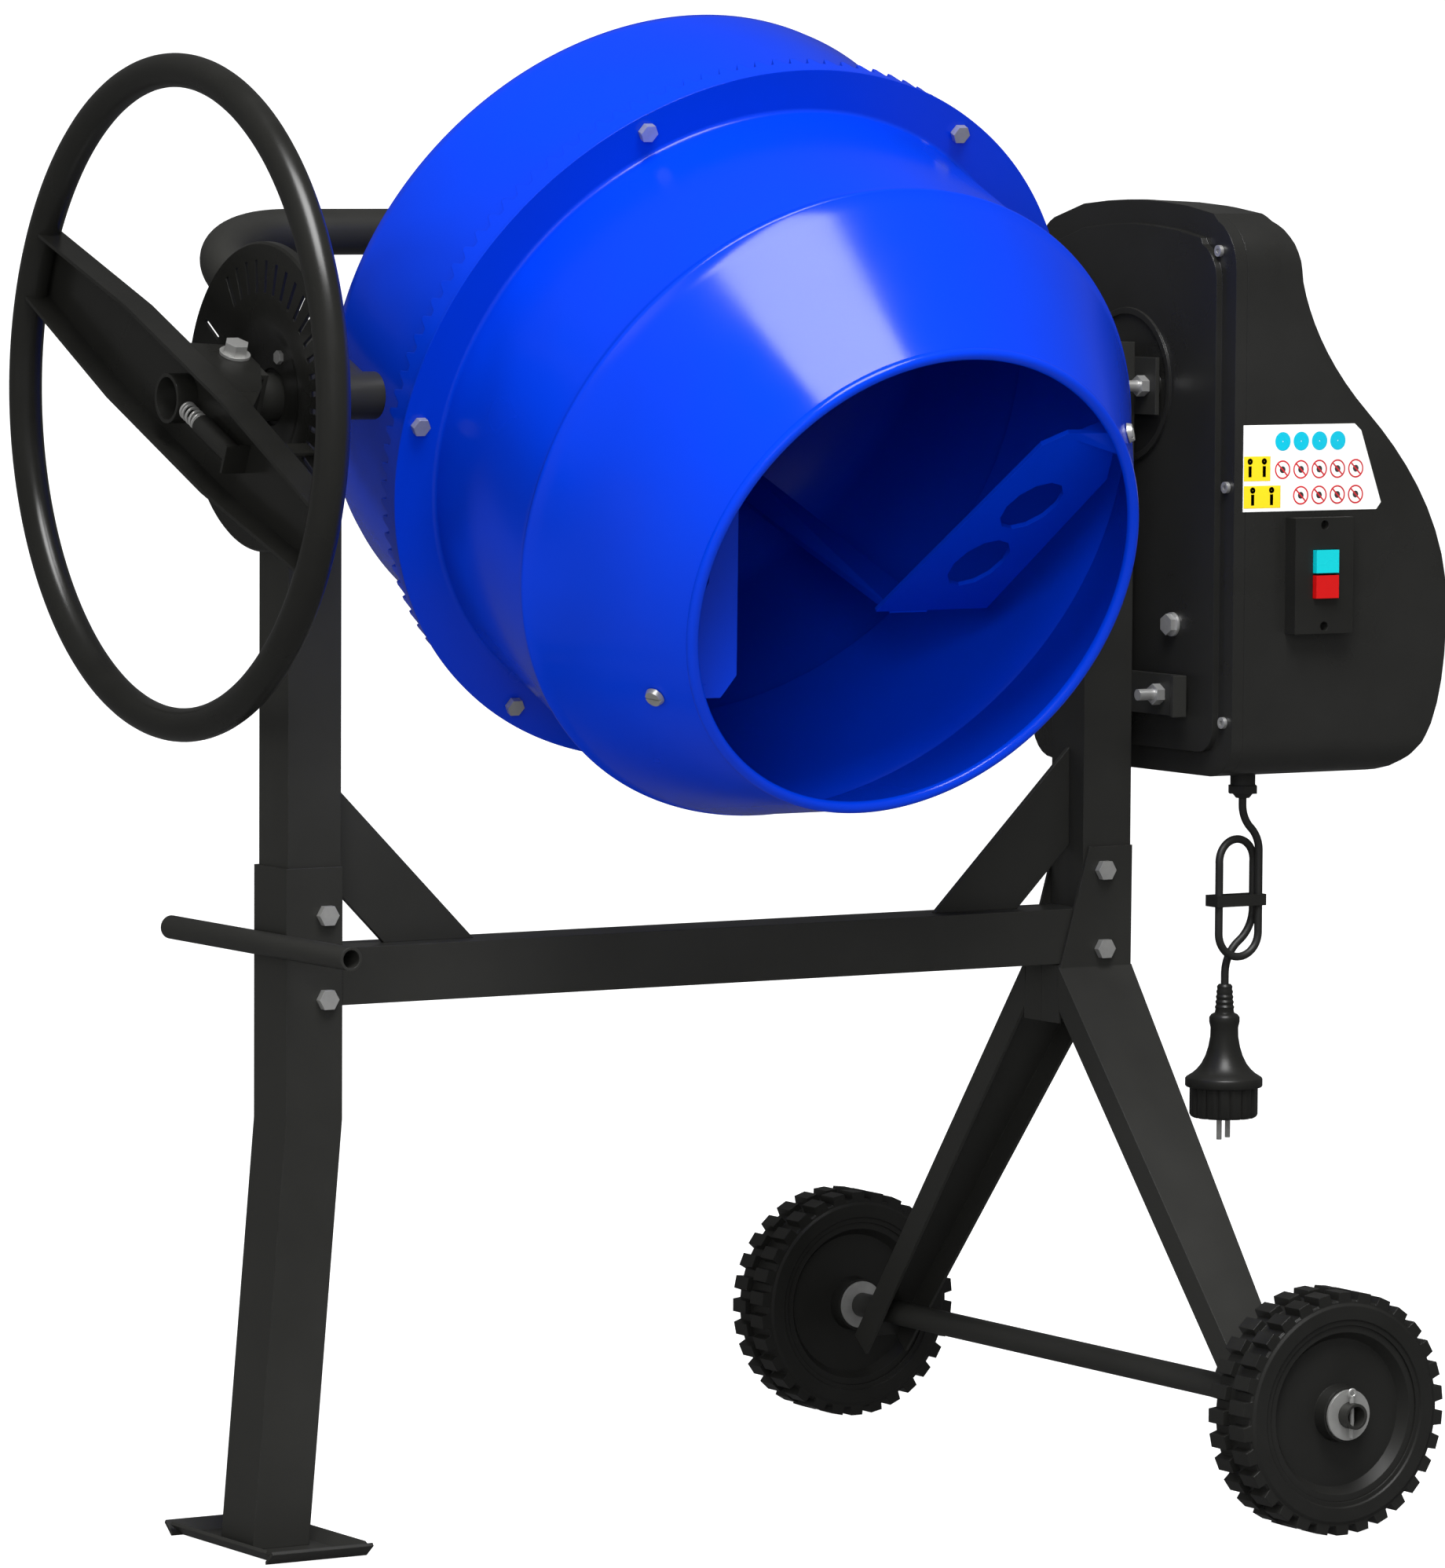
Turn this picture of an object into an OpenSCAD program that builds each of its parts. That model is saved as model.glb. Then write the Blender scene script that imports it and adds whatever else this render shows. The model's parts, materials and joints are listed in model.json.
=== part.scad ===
// Tilting-drum concrete mixer on a two-wheeled stand.
// Millimetres, +Z up, the drum mouth faces -Y, the handwheel is on the -X side.
// The origin is on the ground under the middle of the mixer's outer box.

/* [Stand] */
// Outside size of the square posts
post_size = 50; // [44:1:60]
// Wall of the posts and of the beam
post_wall = 2.5; // [2:0.5:4]
// Distance between the two post centres
post_spread = 793; // [786:1:900]
// Height of the tilt axis above the ground
tilt_height = 957; // [930:1:1150]
// Height of the top of the bottom beam
beam_top = 500; // [450:1:515]
// Height of the beam section
beam_height = 48; // [40:1:60]
// Reach of the corner braces along post and beam
brace_reach = 140; // [110:1:170]
// Width of the band a brace leaves on the beam
brace_band = 86; // [60:1:100]
// Thickness of the corner braces
brace_thickness = 5; // [3:0.5:8]
// Sheet of the folded legs
leg_sheet = 3; // [2:0.5:4]
// Top of the left support leg above the ground
leg_top = 568; // [540:1:600]
// Height of the fold in the left support leg
leg_fold = 357; // [300:1:400]
// How far the left leg leans out below its fold
leg_lean = 31; // [0:1:60]
// Width of the foot tray
foot_width = 97; // [80:1:130]
// Length of the foot tray
foot_length = 190; // [140:1:260]
// Height of the turned-up lips of the foot tray
foot_lip = 12; // [6:1:20]
// Length of the transport handle
handle_length = 312; // [200:1:360]
// Diameter of the transport handle
handle_diameter = 20; // [16:1:27]
// Height of the transport handle
handle_height = 505; // [480:1:520]

/* [Wheel side] */
// Height of the fold of the wheel-side legs
split_height = 449; // [420:1:470]
// Width of the wheel-side legs at the fold
split_width = 77; // [70:1:90]
// Width of the wheel-side legs at the axle
split_foot_width = 46; // [40:1:60]
// Distance of a leg's outer face from the middle plane at axle height
split_reach = 305; // [240:1:330]
// Depth of the flanges of the wheel-side legs
split_flange = 24; // [16:1:30]
// Distance of the axle from the right post's centre, towards the drum
axle_offset = 13; // [5:1:20]
// Diameter of the axle tube
axle_diameter = 22; // [18:1:26]
// Half length of the axle tube
axle_half = 424; // [400:1:460]
// Diameter of the wheels
wheel_diameter = 206.6; // [180:0.1:260]
// Width of the tyres
wheel_width = 54; // [40:1:60]
// Distance of the inner tyre face from the middle plane
wheel_inner = 353; // [340:1:370]
// Number of tread lugs on each shoulder
lug_count = 30; // [20:1:40]
// Depth of the tread
lug_depth = 8; // [4:0.5:12]
// Diameter of the plastic wheel disc where the tyre sits
rim_diameter = 150; // [130:1:160]
// Diameter of the wheel hub
hub_diameter = 47; // [40:1:60]

/* [Fasteners] */
// Thread diameter of the frame bolts
bolt_diameter = 10; // [8:1:12]
// Size across the flats of the frame bolt heads
bolt_flats = 16; // [13:1:18]
// Height of the frame bolt heads
bolt_head = 6.5; // [5:0.5:8]

/* [Handwheel and lock] */
// Distance of the handwheel's plane from the left post's centre
wheel_plane = 118; // [114:1:140]
// Outside radius of the handwheel
handwheel_radius = 282; // [200:1:320]
// Diameter of the handwheel's tube
handwheel_tube = 28; // [20:1:32]
// Diameter of the handwheel's hub tube
hub_tube = 41; // [34:1:50]
// Width of the spoke at the rim
spoke_width = 60; // [50:1:80]
// Width of the spoke at the hub
spoke_middle = 84; // [80:1:100]
// Depth of the spoke's channel
spoke_depth = 22; // [16:1:26]
// Radius of the lock disc
disc_radius = 128; // [120:1:150]
// Inner end of the lock slots
slot_inner = 86; // [80:1:90]
// Outer end of the lock slots
slot_outer = 113; // [108:1:118]
// Width of a lock slot
slot_width = 4.4; // [4:0.1:6]
// Angle from one lock slot to the next
slot_pitch = 9; // [7.5, 9, 10]
// Number of lock slots in the main row
slot_count = 31; // [10:1:36]
// Diameter of the hinge bolt of the handwheel
hinge_diameter = 12; // [10:1:14]

/* [Drum] */
// Angle of the drum axis below the horizontal, mouth down
drum_tilt = 23.74; // [0:0.01:45]
// Sideways shift of the drum from the middle plane
drum_shift = -7; // [-12:1:0]
// Radius of the rear shell
rear_radius = 298; // [280:1:298]
// Distance of the rear shell's bottom behind the tilt axis
rear_depth = 250; // [235:1:262]
// Radius of the flat bottom of the rear shell
bottom_radius = 150; // [120:1:180]
// Outside radius of the joint flange
flange_radius = 322; // [321:1:328]
// Radius of the front shell next to the flange
front_radius = 284; // [270:1:290]
// Radius of the step bead on the front shell
step_radius = 290; // [285:1:296]
// Distance of the step bead in front of the tilt axis
step_place = 222; // [180:1:240]
// Distance of the mouth bead in front of the tilt axis
mouth_place = 366; // [340:1:372]
// Outside radius of the mouth
mouth_radius = 212.5; // [180:0.5:215]
// Thickness of the drum sheet
drum_sheet = 2.5; // [2:0.5:3]
// Diameter of the rolled bead at the mouth
mouth_bead = 10; // [8:1:14]
// Width of a mixing blade
blade_width = 112; // [90:1:114]
// Length of a mixing blade
blade_length = 278; // [250:1:282]
// Thickness of a mixing blade
blade_sheet = 4; // [3:0.5:5]
// Diameter of the tube of the yoke
yoke_tube = 40; // [34:1:42]
// Half distance between the yoke's arms
yoke_half = 340; // [338:1:342]
// Distance of the yoke's cross tube behind the tilt axis
yoke_back = 325; // [320:1:345]
// Bend radius of the yoke's tube
yoke_bend = 100; // [80:1:120]
// Diameter of the drum's spindle
spindle_diameter = 30; // [24:1:34]

/* [Drive] */
// Number of teeth of the drum's ring gear
ring_teeth = 118; // [110:1:126]
// Number of teeth of the pinion
pinion_teeth = 12; // [11:1:13]
// Middle radius of the ring gear's teeth
ring_radius = 310; // [308:1:311]
// Height of a gear tooth above the pitch line
tooth_top = 4.4; // [3.8:0.1:4.6]
// Depth of a gear tooth below the pitch line
tooth_root = 5.6; // [5.2:0.1:6]
// Play left on each flank of a tooth
tooth_play = 0.6; // [0.4:0.05:0.9]
// Diameter of the pinion shaft
shaft_diameter = 18; // [16:1:20]
// Diameter of the large belt pulley
pulley_diameter = 230; // [180:1:240]
// Diameter of the motor pulley
motor_pulley_diameter = 24; // [20:1:40]
// Depth of the motor axis below the tilt axis
motor_drop = 207; // [187:1:212]
// Diameter of the motor
motor_diameter = 130; // [110:1:136]
// Length of the motor
motor_length = 138; // [110:1:142]
// Clearance of a bore over the part that turns in it, on the radius
running_gap = 0.05; // [0.02:0.01:0.09]

/* [Housing] */
// Half width of the motor housing
housing_half = 155; // [150:1:165]
// Depth of the housing's lowest point below the tilt axis
housing_below = 337; // [317:1:357]
// Height of the housing's highest point above the tilt axis
housing_above = 162; // [148:1:183]
// Distance of the inner cover's flange from the right post's face
cover_gap = 16; // [14:1:20]
// Depth of the inner cover's rim
cover_rim = 12; // [8:1:14]
// Depth of the housing at its top
neck_depth = 71; // [66:1:90]
// Depth of the housing at the motor
housing_depth = 229; // [226:1:240]
// Wall of the outer cover
cover_wall = 3; // [2:0.5:4]
// Height by which the panel of the inner cover stands out
panel_step = 6; // [4:0.5:8]
// Radius of the round emboss around the tilt tube
emboss_radius = 67.5; // [60:0.5:75]

/* [Switch and lead] */
// Width of the switch box
switch_width = 62; // [54:1:70]
// Height of the switch box
switch_height = 101; // [90:1:110]
// Depth of the switch box
switch_depth = 15; // [12:1:20]
// Width of a push button
button_width = 24; // [18:1:28]
// Height of a push button
button_height = 20; // [16:1:22]
// How far a button stands out of the box
button_out = 5; // [4:0.5:7]
// Travel of a button
button_travel = 3; // [1:0.5:3]
// Gap around a button in its window
button_gap = 0.4; // [0.3:0.1:0.8]
// Diameter of the mains lead
lead_diameter = 7; // [6:0.5:8]
// Diameter of the plug's flange
plug_flange = 68; // [44:1:70]
// Diameter of the plug's front body
plug_body_diameter = 60; // [38:1:62]
// Diameter of a plug pin
pin_diameter = 4.8; // [4:0.1:5]
// Distance between the plug pins
pin_spacing = 19; // [18:0.5:20]
// Turn of the plug about the lead
plug_turn = 32; // [0:1:90]

/* [Hidden] */
$fn = 64;
eps = 0.01;
left_x = -post_spread / 2;
right_x = post_spread / 2;
left_face = left_x - post_size / 2;
right_face = right_x + post_size / 2;
rim_x = left_x - wheel_plane;
cover_x = right_face + cover_gap;
back_x = cover_x + housing_depth;
seam_x = cover_x + cover_rim;
panel_x = cover_x - panel_step;
mid_x = -(rim_x - handwheel_tube / 2 + back_x) / 2;
wheel_radius = wheel_diameter / 2;
axle_x = right_x - axle_offset;
leg_half = post_size / 2 + leg_sheet;
disc_x = left_face - 13.5;
hinge_x = disc_x - 32;
hinge_arm = 31;
arm_left = drum_shift - yoke_half;
arm_right = drum_shift + yoke_half;
pitch_radius = ring_radius * pinion_teeth / ring_teeth;
tooth_angle = 22;
ring_back = 53;
flange_front = ring_back + 2 * drum_sheet;
bolt_ring = 307;
pulley_x = cover_x + 27;
pulley_width = 20;
motor_x = cover_x + 63;
ear_y = 73;
motor_height = tilt_height - motor_drop;
housing_bottom = tilt_height - housing_below;
housing_top = tilt_height + housing_above;
ear_height = motor_height;
lead_x = cover_x + 51;
lead_y = -100;
lead_low = housing_bottom - 165;
lead_fold = 7 * lead_diameter;
lead_thick = 2 * lead_diameter + 1.5;
lead_top = [[0, 0, 185], [0, 0, 160], [0, 0, 137], [2, 0, 126], [9, 0, 116.5], [16, 0, 107],
    [18, 0, 96]];
lead_tail = [[-6, 8.5, 14], [-10, 8.5, 2], [-11, 8.5, -12], [-11, 8.5, -30]];
plug_x = lead_x - 11;
plug_y = lead_y + 8.5;
plug_z = lead_low - 138;
switch_x = cover_x + 86;
switch_z = motor_height + 45;
teal_z = switch_z + 12.5;
red_z = switch_z - 9.5;
label_z = switch_z + 56;
face_y = -housing_half;
tyre_middle = wheel_inner + wheel_width / 2;
lean_angle = atan((split_reach - leg_half) / (split_height - wheel_radius));
leg_run = (split_height - wheel_radius) / cos(lean_angle);
cone_slope = (step_radius - mouth_radius + mouth_bead * 0.067) /
    (mouth_place - mouth_bead / 4 - step_place - 6);
cone_angle = atan(cone_slope);
back_slope = (rear_radius - 2 - bottom_radius) / (rear_depth - 120);
blade_screw_s = 330;
blade_screw_r = step_radius - cone_slope * (blade_screw_s - step_place - 6);
blade_lean = 31.6;
blade_foot_y = -117;
tip_y = blade_foot_y + blade_length * cos(blade_lean);
tip_x = sqrt(pow(blade_screw_r - 8.24, 2) - tip_y * tip_y);
foot_screw_s = -200;
foot_screw_r = bottom_radius + back_slope * (rear_depth + foot_screw_s);

// Which piece to build

// ---- helpers ----

function arc(cx, cy, r, a0, a1, n) =
    [for (i = [0:n]) [cx + r * cos(a0 + (a1 - a0) * i / n), cy + r * sin(a0 + (a1 - a0) * i / n)]];
function curve(a, b, c, d, n) =
    [for (i = [1:n]) let (t = i / n, u = 1 - t)
        a * u * u * u + b * 3 * u * u * t + c * 3 * u * t * t + d * t * t * t];
function involute(a) = tan(a) * 180 / PI - a;
function roll(r, base) = involute(acos(min(1, base / r)));
function unit(v) = v / norm(v);

// Moves stand coordinates (X from the middle between the posts) to the shared origin
module stand() {
    translate([mid_x, 0, 0])
        children();
}

// Frame of the yoke: -Y runs along the drum axis towards the mouth
module tilted() {
    stand()
        translate([0, 0, tilt_height])
            rotate([drum_tilt, 0, 0])
                children();
}

// Frame of the drum: +Z runs along the drum axis towards the mouth
module drum_axis() {
    tilted()
        translate([drum_shift, 0, 0])
            rotate([90, 0, 0])
                children();
}

module rod_x(x0, x1, d) {
    translate([x0, 0, 0])
        rotate([0, 90, 0])
            cylinder(h = x1 - x0, d = d);
}

module rod_y(y0, y1, d) {
    translate([0, y1, 0])
        rotate([90, 0, 0])
            cylinder(h = y1 - y0, d = d);
}

module pipe(h, outer, inner) {
    difference() {
        cylinder(h = h, d = outer);
        translate([0, 0, -1])
            cylinder(h = h + 2, d = inner);
    }
}

module box_tube(size_a, size_b, wall, h) {
    difference() {
        translate([-size_a / 2, -size_b / 2, 0])
            cube([size_a, size_b, h]);
        translate([wall - size_a / 2, wall - size_b / 2, -1])
            cube([size_a - 2 * wall, size_b - 2 * wall, h + 2]);
    }
}

module hexagon(flats, h) {
    cylinder(h = h, d = flats / cos(30), $fn = 6);
}

// A bolt along +Z: the head sits below z = 0, the shank runs up
module bolt(d, flats, head, length) {
    translate([0, 0, -head])
        hexagon(flats, head);
    translate([0, 0, -eps])
        cylinder(h = length + eps, d = d);
}

module nut(d, flats, h) {
    difference() {
        hexagon(flats, h);
        translate([0, 0, -1])
            cylinder(h = h + 2, d = d);
    }
}

// Plate in the YZ plane from x0 to x1 with the housing's arched outline
module housing_plate(inset, x0, x1) {
    half = housing_half - inset;
    low = housing_bottom + inset;
    high = housing_top - inset;
    corner = 45 - inset / 2;
    foot = 32 - inset / 2;
    drop = 14;
    outline = concat(
        arc(half - foot, low + foot, foot, -90, 0, 6),
        arc(half - corner, high - drop - corner, corner, 0, 68, 7),
        curve([half - corner + 10, high - drop + 3], [half * 0.45, high], [0, high], [0, high], 4),
        curve([0, high], [0, high], [-half * 0.45, high], [corner - half - 10, high - drop + 3], 4),
        arc(corner - half, high - drop - corner, corner, 112, 180, 7),
        arc(foot - half, low + foot, foot, 180, 270, 6));
    translate([x0, 0, 0])
        rotate([90, 0, 90])
            linear_extrude(height = x1 - x0)
                polygon(outline);
}

// Side profile of the outer cover, in X and Z, pulled through the housing's width
module cover_profile(inset) {
    top = housing_top + 1 - inset;
    low = housing_bottom - 1 + inset;
    neck = cover_x + neck_depth - inset;
    hip = back_x - inset;
    waist = cover_x + housing_depth * 0.62 - inset * 0.7;
    waist_z = tilt_height - 22 - inset * 0.7;
    hip_z = motor_height + 15;
    outline = concat(
        [[seam_x - 20, low], [seam_x - 20, top], [cover_x + 35, top - 3]],
        curve([cover_x + 35, top - 3], [neck - 12, top - 8], [neck - 3, top - 34],
            [neck, tilt_height + 92], 6),
        curve([neck, tilt_height + 92], [neck + 8, tilt_height + 58], [waist - 42, waist_z + 40],
            [waist, waist_z], 9),
        curve([waist, waist_z], [waist + 43, waist_z - 41], [hip, hip_z + 70], [hip, hip_z], 9),
        curve([hip, hip_z], [hip, hip_z - 66], [hip - 10, low + 8], [hip - 66, low], 9));
    rotate([90, 0, 0])
        translate([0, 0, -housing_half - 5])
            linear_extrude(height = 2 * housing_half + 10)
                polygon(outline);
}

// Swept round tube along a list of points, closed at both ends
module swept(path, d, sides) {
    n = len(path);
    dirs = [for (i = [0:n - 1])
        unit(path[min(n - 1, i + 1)] - path[max(0, i - 1)])];
    rings = [for (i = [0:n - 1])
        let (u = unit(cross(dirs[i], abs(dirs[i][1]) > 0.9 ? [1, 0, 0] : [0, 1, 0])),
            v = cross(dirs[i], u))
        for (k = [0:sides - 1])
            path[i] + d / 2 * (u * cos(360 * k / sides) + v * sin(360 * k / sides))];
    first = [[for (k = [0:sides - 1]) k]];
    last = [[for (k = [sides - 1:-1:0]) (n - 1) * sides + k]];
    skin = [for (i = [0:n - 2]) for (k = [0:sides - 1])
        let (a = i * sides + k, b = i * sides + (k + 1) % sides)
        for (t = [[a, a + sides, b], [b, a + sides, b + sides]]) t];
    polyhedron(points = rings, faces = concat(first, skin, last));
}

// ---- stand ----

module left_post() {
    color("#2c2c2a")
        stand()
            difference() {
                translate([left_x, 0, 400])
                    box_tube(post_size, post_size, post_wall, tilt_height + 38 - 400);
                translate([0, 0, tilt_height])
                    rod_x(left_face - 1, left_face + post_size + 1, yoke_tube + 6);
                for (z = [beam_top + 28, beam_top - 42])
                    translate([left_x + 9.5, 0, z])
                        rod_y(-40, 40, bolt_diameter);
                for (y = [-33, 33])
                    translate([0, -y * 0.5, tilt_height + y])
                        rod_x(left_face - 1, left_face + 6, 6);
            }
}

module right_post() {
    color("#2c2c2a")
        stand()
            difference() {
                translate([right_x, 0, 400])
                    box_tube(post_size, post_size, post_wall, tilt_height + 38 - 400);
                translate([0, 0, tilt_height])
                    rod_x(right_x - post_size / 2 - 1, right_face + 1, yoke_tube + 6);
                for (z = [beam_top + 33, beam_top - 36])
                    translate([right_x - 5, 0, z])
                        rod_y(-40, 40, bolt_diameter);
            }
}

module bottom_beam() {
    color("#2c2c2a")
        stand()
            translate([left_x + post_size / 2, 0, beam_top - beam_height / 2])
                rotate([0, 90, 0])
                    box_tube(beam_height, post_size, post_wall, post_spread - post_size);
}

module frame_braces() {
    reach = brace_reach;
    color("#2c2c2a")
        stand()
            for (side = [0, 1])
                mirror([side, 0, 0])
                    translate([left_x + post_size / 2, brace_thickness / 2, beam_top])
                        rotate([90, 0, 0])
                            linear_extrude(height = brace_thickness)
                                polygon([[0, reach], [reach, 0], [reach - brace_band, 0],
                                    [0, reach - brace_band]]);
}

// U-shaped channel seen from above, open towards +X
module leg_channel(x0, h) {
    difference() {
        translate([x0 - leg_sheet, -leg_half, 0])
            cube([post_size + leg_sheet, 2 * leg_half, h]);
        translate([x0, leg_sheet - leg_half, -1])
            cube([post_size + 20, 2 * leg_half - 2 * leg_sheet, h + 2]);
    }
}

module support_leg() {
    slant = leg_lean / leg_fold;
    color("#2c2c2a")
        stand()
            difference() {
                union() {
                    translate([0, 0, leg_fold])
                        leg_channel(left_face, leg_top - leg_fold);
                    translate([0, 0, leg_fold])
                        multmatrix([[1, 0, slant, 0], [0, 1, 0, 0], [0, 0, 1, 0], [0, 0, 0, 1]])
                            translate([0, 0, 2.5 - leg_fold])
                                leg_channel(left_face, leg_fold - 2.5);
                }
                for (z = [beam_top + 28, beam_top - 42])
                    translate([left_x + 9.5, 0, z])
                        rod_y(-40, 40, bolt_diameter);
            }
}

module foot_tray() {
    flat_w = foot_width - 2 * foot_lip;
    flat_l = foot_length - 2 * foot_lip;
    color("#2c2c2a")
        stand()
            translate([left_x - leg_lean + 2, 0, 0]) {
                translate([-flat_w / 2, -flat_l / 2, 0])
                    cube([flat_w, flat_l, 2.5]);
                for (side = [0, 1])
                    mirror([side, 0, 0])
                        rotate([90, 0, 0])
                            translate([0, 0, -flat_l / 2])
                                linear_extrude(height = flat_l)
                                    polygon([[flat_w / 2 - 1, 0], [flat_w / 2, 0],
                                        [foot_width / 2, foot_lip - 2.5],
                                        [foot_width / 2 - 2, foot_lip], [flat_w / 2 - 1, 2.5]]);
                for (side = [0, 1])
                    mirror([0, side, 0])
                        rotate([90, 0, 90])
                            translate([0, 0, -foot_width / 2 + 1])
                                linear_extrude(height = foot_width - 2)
                                    polygon([[flat_l / 2 - 1, 0], [flat_l / 2, 0],
                                        [foot_length / 2, foot_lip - 2.5],
                                        [foot_length / 2 - 2, foot_lip], [flat_l / 2 - 1, 2.5]]);
            }
}

module transport_handle() {
    color("#2c2c2a")
        stand()
            translate([left_face - leg_sheet - handle_diameter / 2, handle_length / 2,
                handle_height])
                rotate([90, 0, 0])
                    pipe(handle_length, handle_diameter, handle_diameter - 5);
}

module leg_outline(depth, inset) {
    top = split_width / 2 - inset;
    foot = split_foot_width / 2 - inset;
    linear_extrude(height = depth)
        polygon([[-top, 0], [top, 0], [foot, -leg_run - 30], [-foot, -leg_run - 30]]);
}

module wheel_leg() {
    difference() {
        union() {
            intersection() {
                translate([axle_x, 0.5 - leg_half, split_height])
                    rotate([90 - lean_angle, 0, 0])
                        translate([0, 0, -split_flange])
                            difference() {
                                leg_outline(split_flange, 0);
                                translate([0, 0, -leg_sheet])
                                    leg_outline(split_flange, leg_sheet);
                            }
                translate([axle_x - 100, -leg_half - 500, 0])
                    cube([200, 499.4 + leg_sheet, split_height + 60]);
            }
            translate([0, -post_size / 2, 0])
                rotate([90, 0, 0])
                    linear_extrude(height = leg_sheet)
                        polygon([[right_x - post_size / 2 + 5, beam_top + 54],
                            [right_face, beam_top + 54],
                            [axle_x + split_width / 2 - 1, split_height - 2],
                            [axle_x - split_width / 2 + 1, split_height - 2]]);
            translate([axle_x - split_width / 2 + 0.6, -post_size / 2 - leg_sheet + 1, 400])
                cube([leg_sheet, post_size / 2 + leg_sheet - 1.2, beam_top - beam_height - 401]);
        }
        for (z = [beam_top + 33, beam_top - 36])
            translate([right_x - 5, 0, z])
                rod_y(-40, -post_size / 2 + 1, bolt_diameter);
        translate([axle_x, 0, wheel_radius])
            rod_y(-400, 0, axle_diameter);
    }
}

module wheel_legs() {
    color("#2c2c2a")
        stand() {
            wheel_leg();
            mirror([0, 1, 0])
                wheel_leg();
        }
}

module bolt_places() {
    for (z = [beam_top + 28, beam_top - 42])
        translate([left_x + 9.5, 0, z])
            children();
    for (z = [beam_top + 33, beam_top - 36])
        translate([right_x - 5, 0, z])
            children();
}

module frame_bolts() {
    color("#b9bab8")
        stand()
            bolt_places()
                translate([0, -leg_half, 0])
                    rotate([-90, 0, 0])
                        bolt(bolt_diameter, bolt_flats, bolt_head, 2 * leg_half + 12);
}

module frame_nuts() {
    color("#b9bab8")
        stand()
            bolt_places()
                translate([0, leg_half, 0])
                    rotate([-90, 0, 0])
                        nut(bolt_diameter, bolt_flats, 8);
}

// ---- axle and wheels ----

module axle_tube() {
    color("#2c2c2a")
        stand()
            translate([axle_x, axle_half, wheel_radius])
                rotate([90, 0, 0])
                    difference() {
                        pipe(2 * axle_half, axle_diameter, axle_diameter - 5);
                        for (z = [7, 2 * axle_half - 7])
                            translate([0, 20, z])
                                rotate([90, 0, 0])
                                    cylinder(h = 40, d = 4);
                    }
}

module axle_washers() {
    color("#c4c4c0")
        stand()
            for (y = [-tyre_middle - 33, -tyre_middle + 30.4, tyre_middle - 32.8, tyre_middle + 30.6])
                translate([axle_x, y + 2.4, wheel_radius])
                    rotate([90, 0, 0])
                        pipe(2.4, 43, axle_diameter);
}

module cotter_pins() {
    color("#b9bab8")
        stand()
            for (side = [-1, 1])
                translate([axle_x, side * (axle_half - 7), wheel_radius]) {
                    translate([0, 0, -19])
                        cylinder(h = 36, d = 4);
                    translate([0, 0, 19])
                        rotate([90, 0, 0])
                            rotate_extrude()
                                translate([3.2, 0])
                                    circle(d = 2.6);
                }
}

module lug_ring(turn) {
    step = 360 / lug_count;
    outer = wheel_radius;
    inner = wheel_radius - lug_depth;
    points = [for (i = [0:lug_count - 1]) let (a = i * step + turn) for (p = [
        [inner, -0.34], [outer, -0.27], [outer, 0.27], [inner, 0.34]])
        [p[0] * cos(a + p[1] * step), p[0] * sin(a + p[1] * step)]];
    linear_extrude(height = wheel_width * 0.4)
        polygon(points);
}

module tyre() {
    outer = wheel_radius - lug_depth + 1.2;
    half = wheel_width / 2;
    difference() {
        union() {
            rotate_extrude()
                polygon([[rim_diameter / 2, half - 9], [rim_diameter / 2, 9 - half],
                    [rim_diameter / 2 + 5, -half], [outer - 5, -half], [outer, 3 - half],
                    [outer, half - 3], [outer - 5, half], [rim_diameter / 2 + 5, half]]);
            translate([0, 0, 1.5 - half])
                lug_ring(0);
            translate([0, 0, half * 0.2 - 1.5])
                lug_ring(180 / lug_count);
        }
        translate([0, 0, -half - 1])
            cylinder(h = wheel_width + 2, d = rim_diameter);
    }
}

module wheel_disc() {
    half = wheel_width / 2;
    hub = hub_diameter / 2;
    bore = axle_diameter / 2 + running_gap * 2;
    rim = rim_diameter / 2;
    rotate_extrude()
        polygon([[bore, -half - 3], [hub, -half - 3], [hub + 1, 10 - half], [rim - 12, 12 - half],
            [rim - 6, 3 - half], [rim, 3 - half], [rim, half - 3], [rim - 6, half - 3],
            [rim - 12, half - 12], [hub + 1, half - 10], [hub, half + 3], [bore, half + 3]]);
}

module wheel_place(side) {
    stand()
        translate([axle_x, side * tyre_middle, wheel_radius])
            rotate([90, 0, 0])
                children();
}

module front_tyre() {
    color("#1b1b1a")
        wheel_place(-1)
            tyre();
}

module front_wheel_disc() {
    color("#242423")
        wheel_place(-1)
            wheel_disc();
}

module rear_tyre() {
    color("#1b1b1a")
        wheel_place(1)
            tyre();
}

module rear_wheel_disc() {
    color("#242423")
        wheel_place(1)
            wheel_disc();
}

// ---- lock disc and tilt bearings ----

module lock_disc() {
    cup = 67;
    floor_r = 45;
    turn = 270 + drum_tilt;
    slots = concat([for (i = [0:slot_count - 1]) i], [slot_count + 2]);
    color("#262625")
        stand()
            translate([0, 0, tilt_height])
                rotate([0, 90, 0])
                    difference() {
                        rotate_extrude()
                            polygon([[yoke_tube / 2 + 4, left_face - 3], [floor_r, left_face - 3],
                                [cup, disc_x], [disc_radius - 2, disc_x], [disc_radius, disc_x + 2],
                                [disc_radius, disc_x + 9], [disc_radius - 3, disc_x + 9],
                                [disc_radius - 3, disc_x + 3], [cup + 2, disc_x + 3],
                                [floor_r + 2, left_face], [yoke_tube / 2 + 4, left_face]]);
                        for (i = slots)
                            rotate([0, 0, turn + 14 * slot_pitch - i * slot_pitch])
                                translate([slot_inner, -slot_width / 2, disc_x - 5])
                                    cube([slot_outer - slot_inner, slot_width, 12]);
                        for (y = [-33, 33])
                            translate([-y, -y * 0.5, left_face - 5])
                                cylinder(h = 10, d = 6);
                    }
}

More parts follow.
